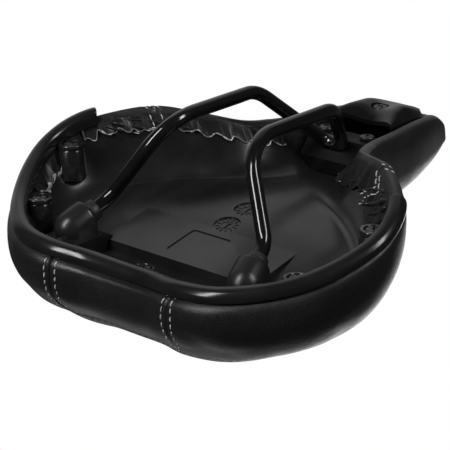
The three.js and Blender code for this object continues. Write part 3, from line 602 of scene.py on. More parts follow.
# name, darkest and lightest grey, lowest and highest roughness, grain in millimetres
PAN = moulded_plastic("pan_plastic", 0.010, 0.017, 0.19, 0.27, 0.012, shine=0.45)
SOCKET_PLASTIC = moulded_plastic("socket_plastic", 0.011, 0.017, 0.27, 0.36, 0.03)
# painted shade: the nose block is made far darker than the other plastics, for the shade in the hollow under
# the cap
SHADED_BLOCK_PLASTIC = moulded_plastic("block_plastic_painted_shade", 0.003, 0.006, 0.4, 0.5, 0.03, shine=0.12, tint=0.0)
TRIM = moulded_plastic("trim_plastic", 0.009, 0.014, 0.17, 0.24, 0.010, wear=0.05)
CAP_MAT = moulded_plastic("cap_plastic", 0.004, 0.008, 0.20, 0.27, 0.006, shine=0.3)
PAINT = moulded_plastic("rail_paint", 0.004, 0.007, 0.10, 0.16, 0.005, coat=0.3, wear=0.03)
RUBBER = moulded_plastic("sleeve_rubber", 0.013, 0.022, 0.42, 0.55, 0.05)
STEEL = metal("screw_steel", grey(0.05, 0.003), grey(0.13, 0.005), 0.28, 0.42)
THREAD = thread_material("thread_white", (0.52, 0.53, 0.53), (0.86, 0.86, 0.84))
DARK_THREAD = thread_material("thread_black", grey(0.012, 0.0), grey(0.03, 0.0))
RAW_EDGE = raw_edge_material("cover_backing", 0.50, 0.60)
# a darker copy of the cut edge: mostly the dark colour, little of the pale backing showing
DARK_EDGE = raw_edge_material("cover_backing_dark", 0.60, 0.66, 0.02)
SCRAP = raw_edge_material("cover_offcut", 0.25, 0.4)
FOAM = foam_material()


# ---------- cushion: blown up by cloth simulation, then dressed ----------
PUFF_CAP = 1.9                  # most that the filling may push the cover out
CORE_SHARE = 0.4                # how much of that the hidden core takes
SINK_CAP = 0.8                  # most that it may sink
PUFF_FRAMES = 20
PUFF_PRESSURE = 250.0           # against a 5 mm mesh held on its pan side
HOLD_BEYOND = 6.5               # foam deeper than this rests on the pan and stays put


def pad_shape(skin):
    """Closed foam body: under the cover outside, over the pan inside."""
    s = np.linspace(0, FULL, 120, endpoint=False)[:, None]
    k = np.array([0.2, 0.25, 0.3, 0.36, 0.42, 0.48, 0.55, 0.62, 0.69, 0.76, 0.83, 0.89, 0.95, 1.0])[None]
    t = np.array([1, 0.8, 0.6, 0.45, 0.32, 0.22, 0.14, 0.08, 0.04])[None]
    outer = cover_base(s, k) - outward(cover_base, s, k) * skin
    up = -outward(dish_share, s, t, dk=0.004)
    up = np.where((t > 0.99)[..., None], [0.0, 0.0, 1.0], up * np.sign(up[..., 2:]))
    inner = dish_share(s, t) + up * (PAN_T + 0.7)
    rings = np.concatenate([outer, inner[:, 1:]], 1)
    n, m = rings.shape[:2]
    faces = grid_faces(n, m, 0, True)
    faces += [[i * m + m - 1, ((i + 1) % n) * m + m - 1, ((i + 1) % n) * m, i * m] for i in range(n)]
    return rings.reshape(-1, 3), faces


def apply_modifier(obj, kind, **values):
    mod = obj.modifiers.new(kind.lower(), kind)
    for key, value in values.items():
        setattr(mod, key, value)
    settle(obj)


def tree_of(points):
    tree = kdtree.KDTree(len(points))
    for index, point in enumerate(points):
        tree.insert(point, index)
    tree.balance()
    return tree


def blow_up(skin):
    """The pad after the cloth run: rest points and how far each moved, in millimetres."""
    verts, faces = pad_shape(skin)
    pad = raw_object("pad_sim", verts, faces)
    finish_mesh(pad, 180.0)
    apply_modifier(pad, "REMESH", mode="VOXEL", voxel_size=5.0 * MM)
    finish_mesh(pad, 180.0)
    rest = np.array([v.co for v in pad.data.vertices]) / MM
    moved = np.zeros_like(rest)
    cloth = pad.modifiers.new("cloth", "CLOTH")
    cloth.settings.quality = 5
    cloth.settings.mass = 0.02
    cloth.settings.tension_stiffness = cloth.settings.compression_stiffness = 8
    cloth.settings.bending_stiffness = 0.3
    cloth.settings.use_pressure = True
    cloth.settings.uniform_pressure_force = PUFF_PRESSURE
    cloth.settings.effector_weights.gravity = 0.0
    cloth.point_cache.frame_end = PUFF_FRAMES
    skin_face = cover_base(np.linspace(0, FULL, 241)[:, None], np.linspace(0.33, 1, 36)[None])
    near_skin = tree_of(skin_face.reshape(-1, 3))
    held = [i for i, p in enumerate(rest) if near_skin.find(p)[2] > skin + HOLD_BEYOND]
    group = pad.vertex_groups.new(name="held")
    group.add(held, 1.0, "REPLACE")
    cloth.settings.vertex_group_mass = "held"
    for step in range(1, PUFF_FRAMES + 1):
        bpy.context.scene.frame_set(step)
    shown = pad.evaluated_get(bpy.context.evaluated_depsgraph_get())
    moved = np.array([v.co for v in shown.data.vertices]) / MM - rest
    length = np.linalg.norm(moved, axis=1, keepdims=True)
    moved *= np.minimum(1, PUFF_CAP / np.maximum(length, 1e-9))
    bpy.context.scene.frame_set(1)
    faces = [list(p.vertices) for p in pad.data.polygons]
    bpy.data.objects.remove(pad)
    return rest, moved, faces


PAD_SKIN = 2.0
pad_rest, pad_move, pad_faces = blow_up(PAD_SKIN)
pad_tree = tree_of(pad_rest)


def puff(points):
    """Movement of the filled pad near each point."""
    flat = points.reshape(-1, 3)
    out = np.zeros_like(flat)
    for i, p in enumerate(flat):
        near = pad_tree.find_n(p, 10)
        w = np.array([1 / (2.0 + d) ** 2 for _, _, d in near])
        out[i] = (pad_move[[n for _, n, _ in near]] * w[:, None]).sum(0) / w.sum()
    return out.reshape(points.shape)


PUFF_S = np.linspace(0, FULL, 181)
PUFF_K = np.linspace(0, 1, 31)
at_grid = (PUFF_S[:, None], PUFF_K[None])
PUSH = np.clip((puff(cover_base(*at_grid)) * outward(cover_base, *at_grid)).sum(-1), -SINK_CAP, PUFF_CAP)


def push_at(s, k):
    """Bilinear look-up of the filling's push."""
    x = (np.asarray(s) % FULL) / FULL * (len(PUFF_S) - 1)
    y = np.clip(k, 0, 1) * (len(PUFF_K) - 1)
    i, j = np.minimum(x.astype(int), len(PUFF_S) - 2), np.minimum(y.astype(int), len(PUFF_K) - 2)
    u, v = x - i, y - j
    return ((PUSH[i, j] * (1 - u) + PUSH[i + 1, j] * u) * (1 - v)
            + (PUSH[i, j + 1] * (1 - u) + PUSH[i + 1, j + 1] * u) * v)


ROW_GAP = 2.8                   # stitch rows lie this far each side of a seam


def crown_reach(f):
    """About how many millimetres of cover k runs over, from 0 to 1."""
    return (f.dist + 40) * 0.95


def cover_surface(s, k):
    """Finished outer face: filled, pulled in at the seams, faint puckers by the stitches."""
    s, k = np.broadcast_arrays(np.asarray(s, float), np.asarray(k, float))
    base = cover_base(s, k)
    upright = from_seams(s)
    f = Station(s)
    arch = (k - TOP_SEAM) * crown_reach(f)
    side = k < TOP_SEAM + 0.03
    d_seam = np.where(side, upright, 99.0)
    near = np.minimum(d_seam, np.abs(arch))
    free = smoothstep(k, 0.26, 0.40) * (1 - 0.75 * bell(near, 5.0))
    height = push_at(s, k) * free * (0.3 + 0.7 * smoothstep(f.dist, 22, 60))
    height = height - 0.6 * bell(d_seam, 0.7) - 0.6 * bell(arch, 0.7)
    height = height - 0.28 * bell(d_seam - ROW_GAP, 0.8) - 0.25 * bell(np.abs(arch) - ROW_GAP, 0.8)
    length = run(s)
    wide = smoothstep(f.dist, 25, 60)
    pucker = wave(length, 5, 6, 7.0, 19.0) * bell(k - 0.20, 0.09) * 0.07 * wide
    band = smoothstep(k, 0.25, 0.5) * (1 - smoothstep(k, 0.6, 0.9))
    pucker = pucker + wave(length, 9, 5, 30.0, 90.0) * band * 0.3 * wide
    return base + outward(cover_base, s, k) * (height + pucker)[..., None]


def cover_normals(s, k):
    return outward(cover_surface, s, k, 0.012, 0.003)


SEAM_GAP = 0.25
TOP_GAP = 0.0012                # half the gap along the top seam, as a share of k
ROW_STEP = 1.5
NEAR_ENDS = np.array([0.25, 0.6, 1.0])  # extra rows beside a seam, for its rounded edge


def cover_sheet(name, s, k, node, whole=False):
    """Padded panel of the cover; a whole one closes on itself and on the spine, its halves alike."""
    outer = cover_surface(s, k)
    inner = outer - cover_normals(s, k) * COVER_T
    if whole:
        mirror = (len(s) - np.arange(len(s))) % len(s)
        for pts in (outer, inner):
            pts[:, -1, 0] = 0.0
            pts[...] = (pts + pts[mirror] * [-1, 1, 1]) / 2
    skin = slab(outer, inner, closed=whole, zipped=whole)
    mesh_piece(name, *skin, LEATHER, "cover_leather", (node,), 60.0)


def cover_panel(name, a, b, node):
    la = float(run(a)) + SEAM_GAP / 2
    lb = la + (float(run(b)) - float(run(a))) % RUN_L[-1] - SEAM_GAP
    rows = [np.linspace(la, lb, int((lb - la) / ROW_STEP)), la + NEAR_ENDS, lb - NEAR_ENDS]
    k = np.concatenate([np.linspace(0, ROLL, 22), np.linspace(ROLL, TOP_SEAM - 0.02, 26)[1:],
                        np.linspace(TOP_SEAM - 0.02, TOP_SEAM - TOP_GAP, 6)[1:]])[None]
    cover_sheet(name, station_at(np.sort(np.concatenate(rows)))[:, None], k, node)


def top_panel():
    s = station_at(np.linspace(0, RUN_L[-1], 420, endpoint=False))[:, None]
    k = np.concatenate([np.linspace(TOP_SEAM + TOP_GAP, TOP_SEAM + 0.02, 6),
                        np.linspace(TOP_SEAM + 0.02, 0.97, 34)[1:], [0.985, 0.995, 1.0]])[None]
    cover_sheet("cushion_top_panel", s, k, "cover_top_panel", whole=True)


for label, a, b in (("rear", FULL - REAR_SEAM, REAR_SEAM), ("right", REAR_SEAM, SIDE_SEAM),
                    ("nose", SIDE_SEAM, FULL - SIDE_SEAM), ("left", FULL - SIDE_SEAM, FULL - REAR_SEAM)):
    cover_panel(f"cushion_{label}_panel", a, b, f"cover_{label}_panel")
top_panel()
core = mesh_piece("foam_core", pad_rest + pad_move * CORE_SHARE, pad_faces, FOAM, "foam", ("foam_pad",), 180.0)
apply_modifier(core, "SUBSURF", levels=1, render_levels=1)


# ---------- stitches ----------
STITCH_LEN = 2.9
STITCH_PITCH = 3.5
STITCH_R = 0.29
STITCH_RISE = 0.34
STITCH_SINK = 0.12
TOP_RISE = 0.06                 # the top seam's thread lies almost flush
STITCH_SIDES = 7


def stitch_row(points, normals, seed, rise=STITCH_RISE):
    """Separate stitches along a line on the cover, each diving into the sheet at its ends."""
    rng = np.random.RandomState(seed)
    length = lengths(points)
    parts, at = [], 0.4
    while at + STITCH_LEN < length[-1]:
        u = np.linspace(0, 1, 7)
        where = at + u * STITCH_LEN * rng.uniform(0.9, 1.06)
        line = at_lengths(where, length, points)
        nrm = unit(at_lengths(where, length, normals))
        side = np.cross(unit(np.gradient(line, axis=0)), nrm)
        slant = rng.uniform(-0.16, 0.16) + 0.22 * (u - 0.5)
        line = line + nrm * (rise * np.sin(u * math.pi) - STITCH_SINK)[:, None] + side * slant[:, None]
        radius = STITCH_R * np.sqrt(np.maximum(0.06, 1 - (2 * u - 1) ** 4))
        parts.append(sweep(line, radius, STITCH_SIDES))
        at += STITCH_PITCH * rng.uniform(0.95, 1.05)
    return parts


def seam_rows(s0, k_from, k_to, seed):
    parts = []
    for n, off in enumerate((-ROW_GAP, ROW_GAP)):
        s = np.full(60, float(station_at(run(s0) + off)))
        k = np.linspace(k_from, k_to, 60)
        parts += stitch_row(cover_surface(s, k), cover_normals(s, k), seed + n)
    return parts


for n, (s0, label) in enumerate(zip(SEAMS, ("rear_right", "side_right", "side_left", "rear_left"))):
    k0 = 0.09 if "rear" in label else 0.0
    rows = join(seam_rows(s0, k0, TOP_SEAM - 0.035, 20 + 2 * n))
    mesh_piece("stitching_" + label, *rows, THREAD, "cover_leather")
all_round = station_at(np.linspace(0, RUN_L[-1], 500))
for n, (off, label) in enumerate(((-ROW_GAP, "outer"), (ROW_GAP, "inner"))):
    k = TOP_SEAM + off / crown_reach(Station(all_round))
    row = stitch_row(cover_surface(all_round, k), cover_normals(all_round, k), 40 + n, TOP_RISE)
    mesh_piece("stitching_top_" + label, *join(row), DARK_THREAD, "cover_leather")


def resample(points, step):
    length = lengths(points)
    return at_lengths(np.linspace(0, length[-1], int(length[-1] / step)), length, points)


# ---------- tucked-in hem ----------
HEM_START = 0.135               # k on the cover's roll where the strip begins
def hem_lift(length, u, seed, calm):
    """Height of the gathered cover above the pan: broad folds, fine creases, calm beside a seam."""
    broad = wave(length, seed + 3, 4, 8.0, 21.0)
    fine = wave(length, seed + 4, 5, 2.8, 6.0)
    crease = -0.55 * bell(wave(length, seed + 5, 4, 7.0, 16.0), 0.12)
    rise = smoothstep(u, 0.05, 0.8)
    return 0.7 + (1.05 * np.maximum(broad, -0.45) + 0.22 * fine + crease) * rise * calm


def hem_strip(name, a, b, widths, seed, edge_material):
    """Gathered edge of the cover glued inside the pan, with a wavy cut edge."""
    length = np.arange(float(run(a)), float(run(b)), 0.5)
    span = (length - length[0]) / (length[-1] - length[0])
    width = np.interp(span, np.linspace(0, 1, len(widths)), widths)
    ends = np.minimum(1, np.minimum(length - length[0], length[-1] - length) / 2.5)
    edge = width + (0.75 * wave(length, seed, 5, 7.0, 15.0) + 0.35 * wave(length, seed + 1, 4, 3.4, 5.6)) * ends
    edge = np.maximum(edge, 0.9)
    shift = 0.7 * wave(length, seed + 2, 4, 8.0, 13.0)
    u = np.linspace(0, 1, 17)[None]
    d = -1.0 + (edge[:, None] + 1.0) * u
    calm = (1 - 0.75 * bell(from_seams(station_at(length)), 5.0))[:, None]
    lift = hem_lift(length[:, None], u, seed, calm)
    ss = station_at(length[:, None] + shift[:, None] * u**2)
    base = dish_base(ss, np.maximum(d, 0))
    up = outward_of_dish(ss, np.maximum(d, 0.05))
    tuck = Station(ss).inward * np.maximum(0, -d)[..., None]
    outer = base + up * (lift + 0.25)[..., None] - tuck
    inner = base - up * 0.3 - tuck
    # the strip starts over the cover's roll, so no gap opens between the two
    over_s, over_k = station_at(length)[:, None], np.array([[HEM_START, 0.11, 0.08, 0.05, 0.02]])
    over, over_up = cover_surface(over_s, over_k), cover_normals(over_s, over_k)
    swell = 0.22 + 0.5 * smoothstep(1 - over_k / HEM_START, 0.0, 1.0) * np.maximum(0, lift[:, :1] - 0.7)
    outer = np.concatenate([over + over_up * (swell * ends[:, None])[..., None], outer[:, 2:]], 1)
    inner = np.concatenate([over - over_up * 0.3, inner[:, 2:]], 1)
    mesh_piece(name, *slab(outer, inner), HEM_LEATHER, "cover_leather", (name,), 50.0)
    curl = outer[:, -1] + up[:, -1] * 0.10
    edge = sweep(curl, 0.26 + 0.2 * np.maximum(0, wave(length, seed + 6, 4, 6.0, 14.0)), 7)
    mesh_piece(name + "_cut_edge", *edge, edge_material, "cover_leather")


def on_hem(path, lift):
    """Points and normals above the pan for a path of station, depth pairs."""
    path = np.asarray(path, float)
    s, d = path[:, 0], path[:, 1]
    up = outward_of_dish(s, np.maximum(d, 0.05))
    return dish_base(s, np.maximum(d, 0)) + up * lift, up


def smooth_path(points, count):
    p = np.asarray(points, float)
    ext = np.concatenate([[2 * p[0] - p[1]], p, [2 * p[-1] - p[-2]]])
    out = []
    for at in np.linspace(0, len(p) - 1, count):
        i = min(int(at), len(p) - 2)
        out.append(spline(*ext[i:i + 4], at - i))
    return np.array(out)


def outward_of_dish(s, d):
    """Unit normals of the dish, into the hollow."""
    along = dish_base(s + 0.01, d) - dish_base(s - 0.01, d)
    inn = dish_base(s, d + 0.05) - dish_base(s, np.maximum(d - 0.05, 0))
    n = unit(np.cross(along, inn))
    return np.where(n[..., 2:] > 0, -n, n)


hem_strip("hem_right_front", 8.15, 12.8, [1.9, 2.1, 3.1, 2.9, 3.2, 3.7, 5.0], 60, RAW_EDGE)
hem_strip("hem_right_rear", 5.6, 7.3, [3.0, 4.0, 4.4, 4.2, 3.6], 70, RAW_EDGE)
hem_strip("hem_left_front", FULL - 12.75, FULL - 8.3, [8.5, 10, 7.5, 5.4, 7.4, 7.8, 6.0], 80, DARK_EDGE)
hem_strip("hem_left_rear", FULL - 7.3, FULL - 5.6, [3.6, 4.2, 4.4, 4.0, 3.0], 90, DARK_EDGE)


def to_left(way):
    """The same path of station, depth pairs on the other side."""
    return np.array([FULL, 0]) + way * [-1, 1]


HEM_STITCH_LIFT = 1.15
# stitch rows run on over the rim and across the hem of each side
BENT_ROW = [[SIDE_SEAM, 0.2], [9.74, 1.6], [9.66, 2.6], [9.9, 4.6], [10.16, 7.2]]
STRAIGHT_ROW = [[SIDE_SEAM, 0.2], [9.92, 1.0], [9.93, 1.8], [9.95, 2.7]]
for label, bends, turn in (("right", STRAIGHT_ROW, np.array), ("left", BENT_ROW, to_left)):
    parts = []
    for n, gap in enumerate((-ROW_GAP, ROW_GAP)):
        off = float(station_at(run(SIDE_SEAM) + gap)) - SIDE_SEAM
        way = smooth_path(np.array(bends) + [off, 0], 60)
        pts, nrm = on_hem(turn(way), HEM_STITCH_LIFT)
        parts += stitch_row(pts, nrm, 50 + n)
    mesh_piece("stitching_hem_" + label, *join(parts), THREAD, "cover_leather")

# stacked pleats where the cover turns the tight corner by the front posts
PLEATS = [[(9.05, 1.0), (9.35, 3.6), (9.95, 8.4), 1.5], [(8.85, 1.6), (9.1, 4.2), (9.52, 8.2), 1.3],
          [(9.3, 0.8), (9.75, 3.0), (10.4, 6.6), 1.1], [(8.6, 2.0), (8.75, 4.0), (8.95, 6.4), 1.0]]
for label, mirrored in (("left", True), ("right", False)):
    folds, tips = [], []
    for n, (a, b, c, r) in enumerate(PLEATS):
        reach = 1.0 if mirrored else 0.42
        way = smooth_path([a, b, c], 26) * [1, reach]
        way[:, 0] = FULL - way[:, 0] if mirrored else way[:, 0]
        pts, nrm = on_hem(way, 0.9)
        u = np.linspace(0, 1, 26)
        swell = np.sqrt(np.clip(1 - (2 * u - 1) ** 4, 0.02, 1)) * (0.75 + 0.25 * np.sin(5 * u + n))
        ridge = pts + nrm * (0.35 * np.sin(9 * u + n))[:, None]
        folds.append(sweep(ridge, r * (0.5 + 0.5 * reach) * swell, 12))
        tip = pts[-8:] + nrm[-8:] * (r * 0.8)
        tips.append(sweep(tip, 0.22 * np.sqrt(np.clip(np.linspace(0.1, 1, 8), 0, 1)), 6))
    mesh_piece("hem_pleats_" + label, *join(folds), HEM_LEATHER, "cover_leather", sharp_deg=70.0)
    mesh_piece("hem_pleat_edges_" + label, *join(tips), DARK_EDGE, "cover_leather")

# staples that hold the hem
STAPLES = ((25.44, 3.2, 0.5), (25.1, 5.6, -0.3), (24.0, 8.6, 0.2), (10.4, 2.2, 0.1), (12.3, 3.2, -0.2))
staples = []
for s0, d0, turn in STAPLES:
    pts, nrm = on_hem([[s0, d0], [s0 + 0.09, d0 + 1.2 * turn], [s0 + 0.18, d0 + 2.4 * turn]], 1.5)
    staples.append(sweep(resample(pts, 0.5), 0.3, 8))
mesh_piece("hem_staples", *join(staples), STEEL, "screw_steel")


SCRAP_T = 0.5


def scrap(s0, d0, wide, tall, seed):
    """Curled offcut of the cover, its pale back showing."""
    u, w = np.linspace(-1, 1, 12)[:, None], np.linspace(0, 1, 9)[None]
    rng = np.random.RandomState(seed)
    lean = rng.uniform(-0.4, 0.4)
    pts, nrm = on_hem([[s0, d0]], 0.5)
    along = unit(np.cross(nrm[0], [0, 0, 1.0]))
    grow = np.cross(along, nrm[0])
    grow = grow * np.sign(-grow[2])
    taper = 1 - 0.75 * w
    sheet = (pts[0] + along * (u * wide / 2 * taper + lean * wide * w)[..., None]
             + grow * (w * tall + 0 * u)[..., None]
             + nrm[0] * (1.4 * np.sin(w * 2.6) + 0.7 * u**2 * w + 0 * u)[..., None])
    return slab(sheet, sheet - nrm[0] * SCRAP_T)


scraps = [scrap(7.12, 5.6, 6.5, 5.2, 1), scrap(6.25, 4.6, 4.0, 3.0, 2), scrap(6.6, 4.2, 3.0, 2.6, 3),
          scrap(FULL - 7.0, 5.2, 4.5, 3.5, 4)]
mesh_piece("hem_scraps", *join(scraps), SCRAP, "cover_leather", sharp_deg=80.0)


# ---------- rear trim: bead, foot and posts ----------
def smooth_section(section, per=5):
    """Closed section with more points, rounded between the given ones."""
    p = np.asarray(section, float)
    out = []
    for i in range(len(p)):
        four = [p[(i + n) % len(p)] for n in (-1, 0, 1, 2)]
        out += [spline(*four, t) for t in np.arange(per) / per]
    return np.array(out)


def swept_section(section, a, b, step, round_ends):
    """Section of out, up pairs swept along the rim from station a to b."""
    la = float(run(a))
    total = (float(run(b)) - la) % RUN_L[-1]
    length = np.linspace(0, total, int(total / step))
    if round_ends:
        near = np.array([0.02, 0.1, 0.25, 0.45, 0.7, 1.0, END_ROUND])
        length = np.sort(np.concatenate([length, near, total - near]))
    f = Station(station_at(la + length))
    e = np.minimum(length, total - length)
    q = np.ones_like(e)
    if round_ends:
        q = np.sqrt(np.maximum(0.0, 1 - (1 - np.minimum(e / END_ROUND, 1)) ** 2)) * 0.3 + 0.7
    centre = np.array([-0.6, 0.6])
    pts = centre + (np.asarray(section)[None] - centre) * q[:, None, None]
    rings = f.p[:, None] + f.out[:, None] * pts[..., :1]
    rings[..., 2] = f.p[:, 2][:, None] + pts[..., 1]
    return tube(rings)


def post_shape(x, y, z, r):
    hole = SCREW_HEAD_R + 0.55
    profile = [[0, SCREW_SEAT], [hole, SCREW_SEAT], [hole, 0.35], [SCREW_HEAD_R + 0.9, 0.0],
               [r - 0.7, 0], [r - 0.25, 0.12], [r, 0.55], [r + 0.05, 1.9], [r - 0.35, 2.3], [r + 0.1, 2.9],
               [r + 0.8, POST_H], [0, POST_H]]
    v, f = lathe(profile, 44)
    return v + [x, y, z], f


posts = [(side * x, y, z, r) for x, y, z, r in TRIM_POSTS for side in ((1, -1) if x else (1,))]
TRIM_STEP = 1.2
bead = swept_section(smooth_section(TRIM_SECTION) * BEAD_SCALE, FULL - TRIM_END_LEFT, TRIM_END_RIGHT,
                     TRIM_STEP, True)
foot = swept_section(FOOT_SECTION, FULL - FOOT_END, FOOT_END, TRIM_STEP, False)
mesh_piece("rear_trim_bead", *bead, TRIM, "trim_plastic", ("rear_trim",), 50.0)
mesh_piece("rear_trim_foot", *foot, TRIM, "trim_plastic")
mesh_piece("rear_trim_posts", *join([post_shape(*p) for p in posts]), TRIM, "trim_plastic")


# ---------- screws ----------
def screw_shape(x, y, z_under):
    """Domed head, its underside at z_under; screw() cuts its cross recess."""
    r, h = SCREW_HEAD_R, SCREW_HEAD_H
    a = np.linspace(0, math.pi / 2, 8)
    dome = [[r * math.sin(q), -h * 0.62 - h * 0.38 * math.cos(q)] for q in a]
    profile = [*dome, [r, -h * 0.3], [r - 0.25, 0.0], [1.6, 0.0], [1.6, 3.0], [0, 3.0]]
    v, f = lathe(profile, 40)
    return v + [x, y, z_under], f


def cross_cutter(x, y, z_top, turn):
    arms = []
    for w, h in ((CROSS_W, CROSS_L), (CROSS_L, CROSS_W)):
        v, f = block((w, h, CROSS_D))
        arms.append((about_z(v, turn) + [x, y, z_top], f))
    return arms


def screw(name, x, y, z_under, turn, node):
    """Screw whose cross recess is turned about Z."""
    cutters = [(raw_object(f"cutter_{n}", *arm), "DIFFERENCE")
               for n, arm in enumerate(cross_cutter(x, y, z_under - SCREW_HEAD_H, turn))]
    head = screw_shape(x, y, z_under)
    mesh_piece(name, *head, STEEL, "screw_steel", (node,), 32.0, cut=cutters)


for n, (x, y, z, _) in enumerate(posts):
    screw(f"screw_post_{n + 1}", x, y, z + SCREW_SEAT, 0.4 + 0.7 * n, f"trim_screw_{n + 1}")
for sign, label in SIDES:
    ax, ay, az = ANCHOR_SCREWS
    screw(f"screw_nose_{label}", sign * ax, ay, az, 0.3 * sign, f"anchor_screw_{label}")


# ---------- rod ----------
def filleted(corners):
    """Points along a bent line; each corner is (point, radius)."""
    pts = [np.array(corners[0][0], float)]
    for i in range(1, len(corners) - 1):
        p, r = np.array(corners[i][0], float), corners[i][1]
        a = unit(np.array(corners[i - 1][0], float) - p)
        b = unit(np.array(corners[i + 1][0], float) - p)
        half = math.acos(float(a @ b)) / 2
        centre = p + unit(a + b) * r / math.sin(half)
        u, w = p + a * r / math.tan(half) - centre, p + b * r / math.tan(half) - centre
        arc = math.acos(float(unit(u) @ unit(w)))
        for t in np.linspace(0, 1, 15):
            pts.append(centre + (u * math.sin((1 - t) * arc) + w * math.sin(t * arc)) / math.sin(arc))
    pts.append(np.array(corners[-1][0], float))
    return np.array(pts)


ROD_END = np.array([48.6, -65.5, 46])
REAR_KNEE = np.array([44.2, -47.5, 37.5])
LEG_RISE = np.array([-14.98, 30, 27.56]) / 30
FRONT_LEG = 33.5
LOOP = np.array([RAIL_HALF_GAP, CLAMP_HALF, 0]) + LEG_RISE * FRONT_LEG
SOCKET_AXIS = unit(ROD_END - REAR_KNEE)
MOUTH = ROD_END + SOCKET_AXIS * ((SOCKET["front"] - ROD_END[1]) / SOCKET_AXIS[1])
half_rod = filleted([(ROD_END, 0), (REAR_KNEE, 13.5), ((RAIL_HALF_GAP, -CLAMP_HALF, 0), 24),
                     ((RAIL_HALF_GAP, CLAMP_HALF, FRONT_CORNER_RISE), 17), (LOOP, 5.6),
                     ((0, LOOP[1] + 0.5, LOOP[2] + 0.5), 0)])
whole_rod = np.concatenate([half_rod, half_rod[-2::-1] * [-1, 1, 1]])
mesh_piece("rail_rod", *sweep(resample(whole_rod, 0.9), ROD_R, 32), PAINT, "rail_paint", ("rail",), 60.0)


# ---------- sockets and sleeves ----------
def socket_shape(side):
    """Bullet-shaped housing round the rod's end, standing on the pan."""
    r, tip = SOCKET["r"], SOCKET["dome"]
    barrel = SOCKET["length"] - tip
    a = np.linspace(0, math.pi / 2, 14)[1:]
    dome = [[r * math.cos(q), -barrel - tip * math.sin(q)] for q in a]
    dome[-1][0] = 0.0
    profile = [[0, -1.6], [ROD_R + 0.5, -1.6], [ROD_R + 0.5, 0.1], [ROD_R + 1.0, 0.25], [r - 1.5, -0.35],
               [r - 0.55, -0.75], [r - 0.1, -1.5], [r, -2.6], [r, -5.0], [r, -barrel], *dome]
    v, f = lathe(profile, 56)
    v = turned_to(v, -SOCKET_AXIS, MOUTH)
    centre = MOUTH[2] + (v - MOUTH) @ SOCKET_AXIS * SOCKET_AXIS[2]
    skirt = v[:, 2] > centre + 1.0
    v[skirt, 2] = np.maximum(v[skirt, 2], SOCKET["pad_z"] + 2.0)
    v[:, 0] *= side
    return v, f


def sleeve_shape(side):
    profile = [[ROD_R + 0.05, -0.6], [ROD_R + 1.5, -0.6], [ROD_R + 1.75, 0.2], [ROD_R + 1.6, 3.6],
               [ROD_R + 1.2, 4.1], [ROD_R + 0.05, 4.1], [ROD_R + 0.05, -0.6]]
    v, f = lathe(profile, 40)
    v = turned_to(v, -SOCKET_AXIS, MOUTH)
    v[:, 0] *= side
    return v, f


for side, label in SIDES:
    for kind, shape, material, slot in (("socket_", socket_shape, SOCKET_PLASTIC, "pan_plastic"),
                                        ("sleeve_", sleeve_shape, RUBBER, "sleeve_rubber")):
        mesh_piece(kind + label, *shape(side), material, slot, ("rail_" + kind + label,), 40.0)


# ---------- base pan ----------
def pan_shape():
    s = station_at(np.linspace(0, RUN_L[-1], 300, endpoint=False))[:, None]
    t = np.concatenate([[0, 0.004, 0.012, 0.022], np.linspace(0.035, 0.4, 24),
                        np.linspace(0.42, 0.98, 22), [1.0]])[None]
    depth = t * (Station(s).dist - WRAP_IN)
    face = dish_share(s, t)
    face[:, -1, 0] = 0
    up = outward_of_dish(s, depth + 0.05)
    up[:, -1] = [0, 0, -1]
    back = face - up * PAN_T
    back[:, -1, 0] = 0
    face = face - up * (0.5 * bell(depth, 0.5))[..., None]
    return slab(face, back, closed=True, zipped=True)


def prism(profile_yz, half_w, taper):
    """Solid across X from a Y, Z outline; taper places two more rings that far inside each end, with the same
    outline.
    """
    p = np.asarray(profile_yz, float)
    rings = np.stack([np.stack([np.full(len(p), x), p[:, 0], p[:, 1]], -1)
                      for x in (-half_w, -half_w + taper, half_w - taper, half_w)])
    return tube(rings)


def stamp_cutter(y, z, tilt):
    """Sinks the plain floor of a round date stamp."""
    v, f = lathe([[0, -3.2], [STAMP_R, -3.2], [STAMP_R, 0.55], [0, 0.55]], 56)
    return about_x(v, tilt) + [0, y, z], f


def stamp_marks(y, z, tilt):
    """What stands up from the stamp's floor: a ring, an arrow and twelve ticks."""
    ring = lathe([[2.9, 0.3], [3.3, 0.3], [3.3, 0.9], [2.9, 0.9], [2.9, 0.3]], 40)
    parts = [ring, block((0.7, 4.2, 0.7), (0, 0, 0.45)), block((2.2, 0.7, 0.7), (0, 1.5, 0.45))]
    for n in range(12):
        v, f = block((0.5, 1.7, 0.6), (0, 4.6, 0.5))
        parts.append((about_z(v, n * math.pi / 6), f))
    v, f = join(parts)
    return about_x(v, tilt) + [0, y, z], f


def label_cutter():
    """Sinks a rounded rectangle by the same small depth everywhere, following the floor."""
    r = LABEL["corner"]
    w, h = LABEL["w"] / 2 - r, LABEL["l"] / 2 - r
    outline = []
    for cx, cy, a0 in ((w, h, 0), (-w, h, 90), (-w, -h, 180), (w, -h, 270)):
        for a in np.radians(np.linspace(a0, a0 + 90, 7)):
            outline.append([cx + r * math.cos(a), cy + r * math.sin(a) + LABEL["y"]])
    o = np.array(outline)
    slope = STEP["fall"] / STEP["run"]
    z = STEP["z"] - slope * (o[:, 1] - STEP["y"])
    rings = np.stack([np.column_stack([o, z - 4.0]), np.column_stack([o, z + LABEL["depth"]])])
    return tube(rings)


